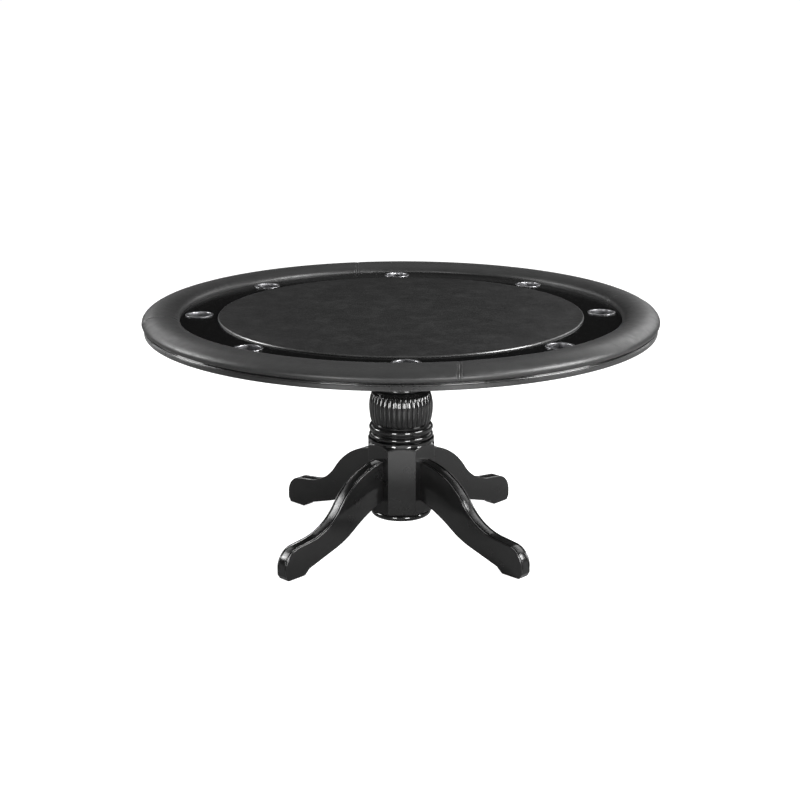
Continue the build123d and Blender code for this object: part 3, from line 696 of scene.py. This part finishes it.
# ---- play field
PLAY_EDGE_R = 0.0045
PLAY_CELLS = 120
PLAY_SWELL = 0.0006
PLAY_WAVE = 0.00022
PLAY_SLOW_SCALE, PLAY_QUICK_SCALE = 9.0, 27.0


def disc_grid(radius, cells):
    """A square grid of points drawn out to a disc, so that its cells stay about equal."""
    points = []
    for i in range(cells + 1):
        for j in range(cells + 1):
            u, v = 2 * i / cells - 1, 2 * j / cells - 1
            reach = max(abs(u), abs(v))
            if reach == 0:
                points.append((0.0, 0.0))
                continue
            turn = pi / 4 * (v / u if abs(u) >= abs(v) else u / v)
            x, y = (cos(turn), sin(turn)) if abs(u) >= abs(v) else (sin(turn), cos(turn))
            sign = copysign(1, u if abs(u) >= abs(v) else v)
            points.append((radius * reach * sign * x, radius * reach * sign * y))
    return points


def grid_rim(cells):
    """Indices of the border of a square grid, in order round it."""
    side = cells + 1
    return ([j for j in range(cells)] + [i * side + cells for i in range(cells)]
            + [cells * side + cells - j for j in range(cells)] + [(cells - i) * side for i in range(cells)])


def make_play_pad():
    """The padded play field: a flat top that rolls over its rim, filled by simulation."""
    flat_r = PLAY_R - PLAY_EDGE_R
    verts = [(x, y, PLAY_TOP) for x, y in disc_grid(flat_r, PLAY_CELLS)]
    side = PLAY_CELLS + 1
    faces = [(i * side + j, i * side + j + 1, (i + 1) * side + j + 1, (i + 1) * side + j)
             for i in range(PLAY_CELLS) for j in range(PLAY_CELLS)]
    rim = grid_rim(PLAY_CELLS)
    section = arc((flat_r, PLAY_TOP - PLAY_EDGE_R), PLAY_EDGE_R, 90, 0, 7)[1:]
    section += [(PLAY_R, PLAY_TOP - 0.008), (PLAY_R, PLAY_BOTTOM)]
    previous = rim
    for radius, z in section:
        ring = []
        for index in rim:
            x, y, _ = verts[index]
            ring.append(len(verts))
            verts.append((x * radius / flat_r, y * radius / flat_r, z))
        faces += [(previous[k], previous[(k + 1) % len(rim)], ring[(k + 1) % len(rim)], ring[k])
                  for k in range(len(rim))]
        previous = ring
    middle = len(verts)
    verts.append((0.0, 0.0, PLAY_BOTTOM))
    faces += [(middle, previous[k], previous[(k + 1) % len(rim)]) for k in range(len(rim))]
    pad = make_object("play_field_vinyl", verts, faces)
    held = [1.0 if z < PLAY_TOP - 0.001 else 0.0 for _, _, z in verts]
    inflate(pad, held, pressure=0.6, stiffness=60.0, cap=PLAY_SWELL)
    points = positions(pad)
    for point in points:
        if point[2] > PLAY_TOP - 0.001:
            slow = ripple(*point, PLAY_SLOW_SCALE, 4.4)
            point[2] += PLAY_WAVE * (slow + 0.5 * ripple(*point, PLAY_QUICK_SCALE, 9.1))
    set_positions(pad, points)
    dress(pad, "play", "play_vinyl", "play_cover", "play_foam")
    # faces of the rim's roll, picked by their tilt, get the glossier vinyl with its painted highlight
    pad.data.materials.append(MATERIALS["play_edge"])
    for polygon in pad.data.polygons:
        polygon.material_index = 1 if 0.15 < polygon.normal.z < 0.985 else 0


# ---- cup holders
CUP_SEGMENTS = 96
CUP_MOUTH_R = 0.0335
CUP_WALL = 0.0012
CUP_FLANGE_T = 0.0022
CUP_LIP_R = 0.0018
CUP_CORNER_R = 0.006


def cup_profile():
    """The closed section of a spun cup, from the middle of its underside round to its floor."""
    body_r = CUP_MOUTH_R + CUP_WALL
    flange_low = CUP_TOP - CUP_FLANGE_T
    roll = CUP_FLANGE_T / 2
    inner = CUP_CORNER_R - CUP_WALL
    floor = CUP_BOTTOM + CUP_WALL
    crown = CUP_TOP - CUP_LIP_R
    return [
        (0.004, CUP_BOTTOM), (0.012, CUP_BOTTOM), (0.022, CUP_BOTTOM),
        *arc((body_r - CUP_CORNER_R, CUP_BOTTOM + CUP_CORNER_R), CUP_CORNER_R, -90, 0, 7),
        (body_r, CUP_BOTTOM + 0.02), (body_r, CUP_BOTTOM + 0.04), (body_r, flange_low - 0.0004),
        (body_r + 0.0004, flange_low), (CUP_FLANGE_R - roll - 0.001, flange_low),
        *arc((CUP_FLANGE_R - roll, flange_low + roll), roll, -90, 90, 9),
        (CUP_MOUTH_R + CUP_LIP_R + 0.0012, CUP_TOP),
        *arc((CUP_MOUTH_R + CUP_LIP_R, crown), CUP_LIP_R, 90, 180, 6),
        (CUP_MOUTH_R, crown - 0.004), (CUP_MOUTH_R, floor + 0.035), (CUP_MOUTH_R, floor + 0.018),
        *arc((CUP_MOUTH_R - inner, floor + inner), inner, 0, -90, 7),
        (0.022, floor), (0.012, floor), (0.004, floor),
    ]


def make_cups():
    """Eight spun cups, each on its own body, so that it lifts out."""
    for index, node in enumerate(CUP_NAMES):
        a = radians(360.0 / PLAYERS * index)
        centre = (CUP_CIRCLE_R * cos(a), CUP_CIRCLE_R * sin(a))
        cup = lathe(f"spun_cup_{index + 1}", cup_profile(), CUP_SEGMENTS, centre)
        dress(cup, "cup", "cup_metal", node, body=f"cup_{index + 1}")


# ---- turned pedestal
TURNED_SEGMENTS = 192
NECK_BEAD_OUTER_R = 0.082
NECK_WAIST = (0.058, 0.548)    # radius and height of its narrowest place


def make_neck():
    """The bead on the urn, the hollow curve of the neck and its spread head."""
    bead_r, bead_z = 0.006, NECK_BOTTOM + 0.007
    bead_core = NECK_BEAD_OUTER_R - bead_r
    head_low = NECK_TOP - 0.014
    waist_low, waist_high = (bead_core - 0.006, bead_z + 0.008), (NECK_HEAD_R - 0.012, head_low)
    waist = three_point_arc(waist_low, NECK_WAIST, waist_high, 28)
    profile = [
        (0.030, NECK_BOTTOM), (bead_core - 0.004, NECK_BOTTOM), (bead_core - 0.0005, NECK_BOTTOM + 0.0008),
        *arc((bead_core, bead_z), bead_r, -90, 90, 15),
        (bead_core - 0.004, bead_z + bead_r + 0.0006), *waist,
        (NECK_HEAD_R - 0.004, head_low), *arc((NECK_HEAD_R - 0.003, NECK_TOP - 0.011), 0.003, -90, 0, 5),
        (NECK_HEAD_R, NECK_TOP - 0.001), (NECK_HEAD_R - 0.001, NECK_TOP), (0.030, NECK_TOP),
    ]
    finish_turned(lathe("turned_neck", profile, TURNED_SEGMENTS), "neck_turning")


def three_point_arc(start, middle, end, count):
    """Points of the arc through three points, ends included."""
    (ax, ay), (bx, by), (cx, cy) = start, middle, end
    d = 2 * (ax * (by - cy) + bx * (cy - ay) + cx * (ay - by))
    a2, b2, c2 = ax * ax + ay * ay, bx * bx + by * by, cx * cx + cy * cy
    x = (a2 * (by - cy) + b2 * (cy - ay) + c2 * (ay - by)) / d
    y = (a2 * (cx - bx) + b2 * (ax - cx) + c2 * (bx - ax)) / d
    radius = hypot(ax - x, ay - y)
    angles = [degrees(atan2(p[1] - y, p[0] - x)) for p in (start, middle, end)]
    turn = [(angles[k] - angles[0]) % 360 for k in (1, 2)]
    sweep = turn[1] if turn[0] <= turn[1] else turn[1] - 360
    return arc((x, y), radius, angles[0], angles[0] + sweep, count)


def finish_turned(obj, node):
    """What every turned wooden piece shares."""
    sharpen(obj, 40)
    dress(obj, "turned", "black_wood", node)


URN_WIDEST_Z = 0.426
URN_FOOT_R = 0.0895
URN_UPPER_ARC_R = 0.110
URN_BEVEL_R, URN_BEVEL_H = 0.007, 0.004
REEDS = 36
REED_DEPTH = 0.0042
REED_WIDTH_SHARE = 0.95
REED_BOTTOM_Z = 0.3745
REED_TOP_Z = 0.4725
REED_COLUMNS = 20


def urn_radius(z):
    """The turned radius of the urn before it is reeded."""
    if z < URN_WIDEST_Z:
        drop, pinch = URN_WIDEST_Z - URN_BOTTOM, URN_R - URN_FOOT_R
        radius = (drop * drop + pinch * pinch) / (2 * pinch)
        return URN_R - radius + sqrt(radius**2 - (URN_WIDEST_Z - z) ** 2)
    bevel_z = URN_TOP - URN_BEVEL_H
    round_z = min(z, bevel_z)
    full = URN_R - URN_UPPER_ARC_R + sqrt(URN_UPPER_ARC_R**2 - (round_z - URN_WIDEST_Z) ** 2)
    return full - URN_BEVEL_R * max(0.0, z - bevel_z) / URN_BEVEL_H


def reed_height(u, z):
    """How far a reed stands out, from 0 to 1: u runs from -1 to 1 across it, and both ends are round."""
    half_width = pi * URN_R / REEDS * REED_WIDTH_SHARE
    past = max(z - (REED_TOP_Z - half_width), (REED_BOTTOM_Z + half_width) - z, 0.0) / half_width
    return sqrt(max(0.0, 1 - (u / REED_WIDTH_SHARE) ** 2 - past**2))


def make_urn():
    """The urn with its 36 convex reeds, each with rounded ends."""
    ends = 0.009
    heights = np.concatenate([
        np.linspace(URN_BOTTOM, REED_BOTTOM_Z, 3)[:-1],
        REED_BOTTOM_Z + ends * (1 - np.cos(np.linspace(0, pi / 2, 12))),
        np.linspace(REED_BOTTOM_Z + ends, REED_TOP_Z - ends, 34)[1:-1],
        REED_TOP_Z - ends * (1 - np.cos(np.linspace(pi / 2, 0, 12))),
        np.linspace(REED_TOP_Z, URN_TOP - URN_BEVEL_H, 3)[1:],
        np.linspace(URN_TOP - URN_BEVEL_H, URN_TOP, 3)[1:],
    ])
    across = np.sin(np.linspace(-pi / 2, pi / 2, REED_COLUMNS, endpoint=False))
    verts = []
    for z in heights:
        turned = urn_radius(z)
        for reed in range(REEDS):
            for u in across:
                a = 2 * pi * (reed + 0.5 * (u + 1)) / REEDS
                radius = turned - REED_DEPTH * (1 - reed_height(u, z))
                verts.append((radius * cos(a), radius * sin(a), z))
    columns = REEDS * REED_COLUMNS
    faces = grid_faces(len(heights), columns, wrap_columns=True)
    faces += end_fans(verts, len(heights), columns, (0.0, 0.0), (URN_BOTTOM, URN_TOP))
    finish_turned(make_object("reeded_urn_body", verts, faces), "reeded_urn")


COLLAR_CORE_R = 0.090
LOWER_RING_Z, LOWER_RING_TUBE = 0.337, 0.0095
UPPER_RING_Z, UPPER_RING_TUBE = 0.359, 0.013


def ring_arc(ring_r, level, tube, inner_r, count):
    """A round moulding in section, from where it leaves an inner radius to where it meets it again."""
    lean = degrees(acos((inner_r - ring_r) / tube))
    return arc((ring_r, level), tube, -lean, lean, count)


def make_collar():
    """The collar with its two round mouldings."""
    core_r = COLLAR_CORE_R
    lower = ring_arc(COLLAR_R - LOWER_RING_TUBE, LOWER_RING_Z, LOWER_RING_TUBE, core_r, 21)
    upper = ring_arc(COLLAR_R - UPPER_RING_TUBE, UPPER_RING_Z, UPPER_RING_TUBE, core_r, 27)
    profile = [(0.030, COLLAR_BOTTOM), (core_r - 0.0006, COLLAR_BOTTOM), (core_r, COLLAR_BOTTOM + 0.0004),
               *lower, *upper,
               (core_r, COLLAR_TOP - 0.0006), (core_r - 0.001, COLLAR_TOP), (0.030, COLLAR_TOP)]
    finish_turned(lathe("ring_mouldings", profile, TURNED_SEGMENTS), "ring_collar")


CAP_BEAD_R = 0.010
CAP_NECK_R = 0.088


def make_cap():
    """The turned cap under the post."""
    bead_r, neck_r = CAP_BEAD_R, CAP_NECK_R
    bead_x = CAP_R - bead_r
    shoulder = CAP_BOTTOM + 2 * bead_r
    profile = [(0.020, CAP_BOTTOM), (0.050, CAP_BOTTOM), (bead_x - 0.002, CAP_BOTTOM),
               *arc((bead_x, CAP_BOTTOM + bead_r), bead_r, -90, 90, 23),
               (neck_r - 0.0016, shoulder), (neck_r - 0.0004, shoulder + 0.0008), (neck_r, shoulder + 0.002),
               (neck_r, CAP_TOP), (0.020, CAP_TOP)]
    finish_turned(lathe("turned_cap", profile, TURNED_SEGMENTS), "bottom_cap")


POST_APOTHEM = 0.100
POST_COLLAR_R = 0.1006
POST_SHOULDER_TOP = 0.318
POST_ARRIS = 0.0016
POST_FACE_COLUMNS = 22


def post_columns():
    """Angle and radius of the columns round the octagonal post, with its eight arrises rounded."""
    columns = []
    corner = pi / 8
    rounding = POST_ARRIS / cos(corner)
    centre_r = POST_APOTHEM / cos(corner) - rounding
    for face in range(8):
        middle = face * pi / 4
        reach = POST_APOTHEM * tan(corner) - POST_ARRIS * tan(corner)
        for t in np.linspace(-1, 1, POST_FACE_COLUMNS):
            y = reach * t
            columns.append((middle + atan2(y, POST_APOTHEM), hypot(POST_APOTHEM, y)))
        for t in (-0.5, 0.0, 0.5):
            lean = middle + corner + t * corner
            x = centre_r * cos(middle + corner) + POST_ARRIS * cos(lean)
            y = centre_r * sin(middle + corner) + POST_ARRIS * sin(lean)
            columns.append((atan2(y, x) % (2 * pi), hypot(x, y)))
    return columns


def make_post():
    """The octagonal post: every corner is turned off at the top, which leaves an arch over each face."""
    columns = post_columns()
    soften = 0.0006
    verts = []
    rows = [lambda r, crease: (r - 0.0008, POST_BOTTOM), lambda r, crease: (r, POST_BOTTOM + 0.0008)]
    for t in np.linspace(0.05, 1.0, 16):
        rows.append(lambda r, crease, t=t: (r, POST_BOTTOM + 0.0008 + t * (crease - POST_BOTTOM - 0.0014)))
    rows += [
        lambda r, crease: (r - 0.35 * soften, crease + 0.2 * soften),
        lambda r, crease: (POST_COLLAR_R + max(0.0, POST_SHOULDER_TOP - crease - soften), crease + soften),
        lambda r, crease: (POST_COLLAR_R, POST_SHOULDER_TOP + soften),
        lambda r, crease: (POST_COLLAR_R, POST_TOP - 0.0005),
        lambda r, crease: (POST_COLLAR_R - 0.0005, POST_TOP),
        lambda r, crease: (0.030, POST_TOP),
    ]
    for row in rows:
        for a, r in columns:
            crease = min(POST_SHOULDER_TOP - 0.0004, POST_SHOULDER_TOP - (r - POST_COLLAR_R))
            radius, z = row(r, crease)
            verts.append((radius * cos(a), radius * sin(a), z))
    faces = grid_faces(len(rows), len(columns), wrap_columns=True)
    faces += end_fans(verts, len(rows), len(columns), (0.0, 0.0), (POST_BOTTOM, POST_TOP))
    finish_turned(make_object("octagonal_post_body", verts, faces), "octagonal_post")


# ---- legs
LEG_HALF_T = 0.020
LEG_ROOT_TOP_Z = 0.271
LEG_TOE_FRONT_Z = 0.016
LEG_TOE_CUT = 0.009
LEG_FOOT_Z = 0.002
LEG_HEEL_R = 0.423
LEG_HEEL_TOP = (0.404, 0.018)
LEG_TOP_CURVE = ((0.247, -48), (0.175, 47), (None, 0.051), (0.058, -83))
LEG_CALF_CURVE = ((None, 0.1087), (0.286, -17.4), (0.502, 16.6))
LEG_STEP = 0.001           # the outline is drawn with points this far apart
LEG_ROUNDING = 1.3         # its corners are softened over this many points
LEG_ARRIS_R = 0.0018
LEG_BEAD_EDGE = 0.0150     # from here to the arris runs the bead
LEG_BAND_EDGE = 0.0120     # the flat middle band is this far to each side
LEG_GROOVE_DEPTH = 0.0025
LEG_BAND_REEDS = 7
LEG_REED_DEPTH = 0.00022
LEG_CROWN = 0.0006
GROOVE_END_Z = (0.026, 0.034)


def walk(start, bearing, moves):
    """Points along a path: each move is a radius and a turn in degrees, or None and a length."""
    points = [start]
    for radius, amount in moves:
        x, z = points[-1]
        heading = radians(bearing)
        if radius is None:
            count = max(1, round(amount / LEG_STEP))
            along_x, along_z = cos(heading), sin(heading)
            steps = [amount * i / count for i in range(1, count + 1)]
            points += [(x + step * along_x, z + step * along_z) for step in steps]
            continue
        side = copysign(1, amount)
        centre = (x - side * radius * sin(heading), z + side * radius * cos(heading))
        count = max(2, round(radius * radians(abs(amount)) / LEG_STEP))
        first = bearing - side * 90
        points += arc(centre, radius, first, first + amount, count + 1)[1:]
        bearing += amount
    return points


def leg_outline():
    """The side view of a leg, from the top of its root over the knee and round the toe to its calf."""
    upper = walk((POST_APOTHEM, LEG_ROOT_TOP_Z), -6, LEG_TOP_CURVE)
    toe_x, toe_z = upper[-1]
    front = walk((toe_x, toe_z), -90, [(None, toe_z - LEG_TOE_FRONT_Z)])
    corners = [front[-1], (toe_x - LEG_TOE_CUT, LEG_FOOT_Z), (LEG_HEEL_R, LEG_FOOT_Z), LEG_HEEL_TOP]
    foot = []
    for start, end in zip(corners, corners[1:]):
        count = round(dist(start, end) / LEG_STEP)
        foot += [*straight(start, end, count), end]
    calf = walk(LEG_HEEL_TOP, 163, LEG_CALF_CURVE)
    calf = [point for point in calf[1:] if point[0] > POST_APOTHEM]
    return thin_out(soften([*upper, *front[1:], *foot, *calf, (POST_APOTHEM, calf[-1][1])]))


def soften(points):
    """Rounds the corners of a closely drawn line by averaging along it."""
    reach = 4
    weights = np.exp(-0.5 * (np.arange(-reach, reach + 1) / LEG_ROUNDING) ** 2)
    weights /= weights.sum()
    path = np.array(points)
    padded = np.concatenate([2 * path[:1] - path[reach:0:-1], path, 2 * path[-1:] - path[-2:-reach - 2:-1]])
    return np.stack([np.convolve(padded[:, k], weights, mode="valid") for k in (0, 1)], axis=1)


def thin_out(path):
    """Keeps the points of a line that its curves need: each with its heading."""
    step = np.gradient(path, axis=0)
    headings = np.unwrap(np.arctan2(step[:, 1], step[:, 0]))
    kept = [0]
    for i in range(1, len(path) - 1):
        turned = abs(headings[i] - headings[kept[-1]])
        if turned > radians(2.2) or i - kept[-1] >= 5:
            kept.append(i)
    kept.append(len(path) - 1)
    return [(path[i][0], path[i][1], headings[i]) for i in kept]


def leg_section():
    """Across half of a leg: distance from its middle, depth everywhere, and depth added by the grooves."""
    band = []
    count = LEG_BAND_REEDS * 4
    for i in range(count + 1):
        y = -LEG_BAND_EDGE + 0.0006 + i / count * 2 * (LEG_BAND_EDGE - 0.0006)
        reed = 0.5 - 0.5 * cos(2 * pi * LEG_BAND_REEDS * i / count + pi)
        band.append((y, 0.0, LEG_CROWN * (y / LEG_BAND_EDGE) ** 2 + LEG_REED_DEPTH * reed))
    groove_w = LEG_BEAD_EDGE - LEG_BAND_EDGE
    side = [
        (LEG_BAND_EDGE, 0.0, LEG_CROWN + 0.0007), (LEG_BAND_EDGE + 0.0001, 0.0, LEG_GROOVE_DEPTH - 0.0008),
        (LEG_BAND_EDGE + 0.2 * groove_w, 0.0, LEG_GROOVE_DEPTH),
        (LEG_BAND_EDGE + 0.8 * groove_w, 0.0, LEG_GROOVE_DEPTH),
        (LEG_BEAD_EDGE - 0.0001, 0.0, LEG_GROOVE_DEPTH - 0.0008), (LEG_BEAD_EDGE, 0.0, 0.0012),
        (LEG_BEAD_EDGE + 0.0004, 0.0, 0.0006), (LEG_BEAD_EDGE + 0.0010, 0.0, 0.0002),
        (LEG_BEAD_EDGE + 0.0020, 0.0, 0.0),
    ]
    arris = [(y, LEG_ARRIS_R - rise, 0.0)
             for y, rise in arc((LEG_HALF_T - LEG_ARRIS_R, 0.0), LEG_ARRIS_R, 90, 0, 7)]
    half = [*side, *arris]
    return [*[(-y, deep, groove) for y, deep, groove in reversed(half)], *band, *half]


def make_leg(node, bearing):
    """One sabre leg: its section swept along its outline, with flat sides."""
    outline, section = leg_outline(), leg_section()
    a = radians(bearing)
    across = Vector((-sin(a), cos(a), 0))
    ahead = Vector((cos(a), sin(a), 0))
    verts = []
    on_top = True
    for x, z, heading in outline:
        on_top = on_top and z > GROOVE_END_Z[0]
        grown = (z - GROOVE_END_Z[0]) / (GROOVE_END_Z[1] - GROOVE_END_Z[0])
        carved = min(1.0, max(0.0, grown)) if on_top else 0.0
        for y, deep, groove in section:
            inward = deep + groove * carved
            place = ahead * (x + sin(heading) * inward) + across * y
            verts.append((place.x, place.y, z - cos(heading) * inward))
    rows, columns = len(outline), len(section)
    faces = grid_faces(rows, columns)
    faces.append(tuple(i * columns for i in range(rows)))
    faces.append(tuple(i * columns + columns - 1 for i in range(rows)))
    faces.append((*range(columns), *range(rows * columns - 1, (rows - 1) * columns - 1, -1)))
    leg = make_object("sabre_" + node, verts, faces)
    sharpen(leg, 38)
    dress(leg, "leg", "black_wood", node)


# ---- floor, lights and camera
WHITE = (1.0, 1.0, 1.0, 1.0)
FLOOR_HALF = 250.0
FLOOR_GLOW = 0.88          # what the floor gives off towards the camera
FLOOR_BOUNCE = 0.21        # its grey as the table sees it
WASH_PLACE = (0.0, -1.62, 3.2)
WASH_POWER = 2400.0
WASH_CONE = 34.0


def make_floor():
    """A wide plain pale floor, which gives back less light to the table than the camera sees of it."""
    half = FLOOR_HALF
    verts = [(-half, -half, 0), (half, -half, 0), (half, half, 0), (-half, half, 0)]
    floor = make_object("floor", verts, [(0, 1, 2, 3)], smooth=False)
    glow = {"Emission_Color": WHITE, "Emission_Strength": FLOOR_GLOW}
    s = Shader("pale_floor", Specular_IOR_Level=0.0, Roughness=1.0, **glow)
    s.colours(s.noise(0.4, detail=2.0), [(0.3, grey(0.44)), (0.7, grey(0.46))])
    seen_by_table = s.node("ShaderNodeBsdfDiffuse", Color=(*grey(FLOOR_BOUNCE), 1.0))
    mix = s.node("ShaderNodeMixShader")
    s.link(s.node("ShaderNodeLightPath").outputs["Is Camera Ray"], mix.inputs["Fac"])
    s.link(seen_by_table.outputs["BSDF"], mix.inputs[1])
    s.link(s.shader.outputs["BSDF"], mix.inputs[2])
    s.link(mix.outputs["Shader"], s.tree.nodes["Material Output"].inputs["Surface"])
    floor.data.materials.append(s.material)


def make_floor_wash():
    """A spotlight on the floor in front of the table, which its front faces reflect."""
    data = bpy.data.lights.new("floor_wash", "SPOT")
    data.energy = WASH_POWER
    data.spot_size = radians(WASH_CONE)
    data.spot_blend = 0.6
    data.shadow_soft_size = 0.05
    add_object("floor_wash", data).location = WASH_PLACE


# The dome by the sine of the height above the horizon, and its strength low and high
DOME_START, DOME_FULL = 0.55, 0.90
DOME_DARK, DOME_LIGHT = 0.02, 0.8


def make_world():
    """Light from a wide overhead dome that is dark near the horizon, and a white backdrop."""
    world = bpy.data.worlds.new("studio")
    bpy.context.scene.world = world
    world.use_nodes = True
    tree = world.node_tree
    tree.nodes.clear()
    new = tree.nodes.new
    place = new("ShaderNodeTexCoord")
    split = new("ShaderNodeSeparateXYZ")
    dome = new("ShaderNodeMapRange")
    lighting = new("ShaderNodeBackground")
    backdrop = new("ShaderNodeBackground")
    path = new("ShaderNodeLightPath")
    mix = new("ShaderNodeMixShader")
    output = new("ShaderNodeOutputWorld")
    dome.interpolation_type = "SMOOTHSTEP"
    dome_values = {"From Min": DOME_START, "From Max": DOME_FULL, "To Min": DOME_DARK, "To Max": DOME_LIGHT}
    for socket, value in dome_values.items():
        dome.inputs[socket].default_value = value
    backdrop.inputs["Color"].default_value = WHITE
    links = (
        (place.outputs["Generated"], split.inputs["Vector"]),
        (split.outputs["Z"], dome.inputs["Value"]),
        (dome.outputs["Result"], lighting.inputs["Strength"]),
        (path.outputs["Is Camera Ray"], mix.inputs["Fac"]),
        (lighting.outputs["Background"], mix.inputs[1]),
        (backdrop.outputs["Background"], mix.inputs[2]),
        (mix.outputs["Shader"], output.inputs["Surface"]),
    )
    for start, end in links:
        tree.links.new(start, end)


def softbox(name, azimuth, elevation, distance, width, height, radiance, target=(0.0, 0.0, 0.5)):
    """A rectangular softbox that faces the table; azimuth 0 is +X, and energy follows from radiance."""
    a, e = radians(azimuth), radians(elevation)
    direction = Vector((cos(e) * cos(a), cos(e) * sin(a), sin(e)))
    data = bpy.data.lights.new(name, "AREA")
    data.shape = "RECTANGLE"
    data.size = width
    data.size_y = height
    data.energy = radiance * pi * width * height
    light = add_object(name, data)
    light.location = Vector(target) + direction * distance
    light.rotation_euler = direction.to_track_quat("Z", "Y").to_euler()
    light.visible_camera = False


SOFTBOXES = (
    # name, azimuth, elevation, distance, width, height, radiance
    ("left_rear_softbox", 137.0, 26.0, 4.0, 2.8, 1.5, 2.3),
    ("right_rear_softbox", 42.0, 27.0, 4.0, 2.8, 1.6, 3.4),
    ("left_high_softbox", 168.0, 30.0, 4.2, 1.8, 1.2, 9.0),
    ("right_high_softbox", 336.0, 31.0, 4.2, 2.0, 1.2, 22.0),
    ("left_softbox", 172.0, 18.0, 4.2, 1.3, 1.0, 19.0),
    ("right_softbox", 336.0, 20.0, 4.2, 2.0, 1.4, 26.0),
    ("front_left_softbox", 245.0, 5.0, 4.6, 1.1, 1.2, 30.0),
    ("front_right_softbox", 292.0, 5.0, 4.6, 1.3, 1.2, 36.0),
)


CAMERA_PLACE = (-0.0978, -4.3956, 1.6813)
CAMERA_RIGHT = (0.99976, -0.02196, -0.0014)
CAMERA_UP = (0.00731, 0.27156, 0.96239)
CAMERA_AHEAD = (0.02075, 0.96217, -0.27165)
CAMERA_LENS = 68.0


def make_camera():
    """The camera of the reference view."""
    data = bpy.data.cameras.new("camera")
    data.sensor_width = 36.0
    data.lens = CAMERA_LENS
    data.clip_end = 1000.0
    camera = add_object("camera", data)
    matrix = camera.matrix_world.copy()
    for column, axis in enumerate((Vector(CAMERA_RIGHT), Vector(CAMERA_UP), -Vector(CAMERA_AHEAD))):
        matrix.col[column].xyz = axis
    matrix.translation = Vector(CAMERA_PLACE)
    camera.matrix_world = matrix
    bpy.context.scene.camera = camera


# ---- build
dress_cad_nodes()
make_camera()
make_rail_pad()
make_play_pad()
make_cups()
make_neck()
make_urn()
make_collar()
make_post()
make_cap()
for leg in LEG_BEARINGS.items():
    make_leg(*leg)
make_floor()
make_world()
make_floor_wash()
for box in SOFTBOXES:
    softbox(*box)
bpy.context.scene.view_settings.view_transform = "Standard"
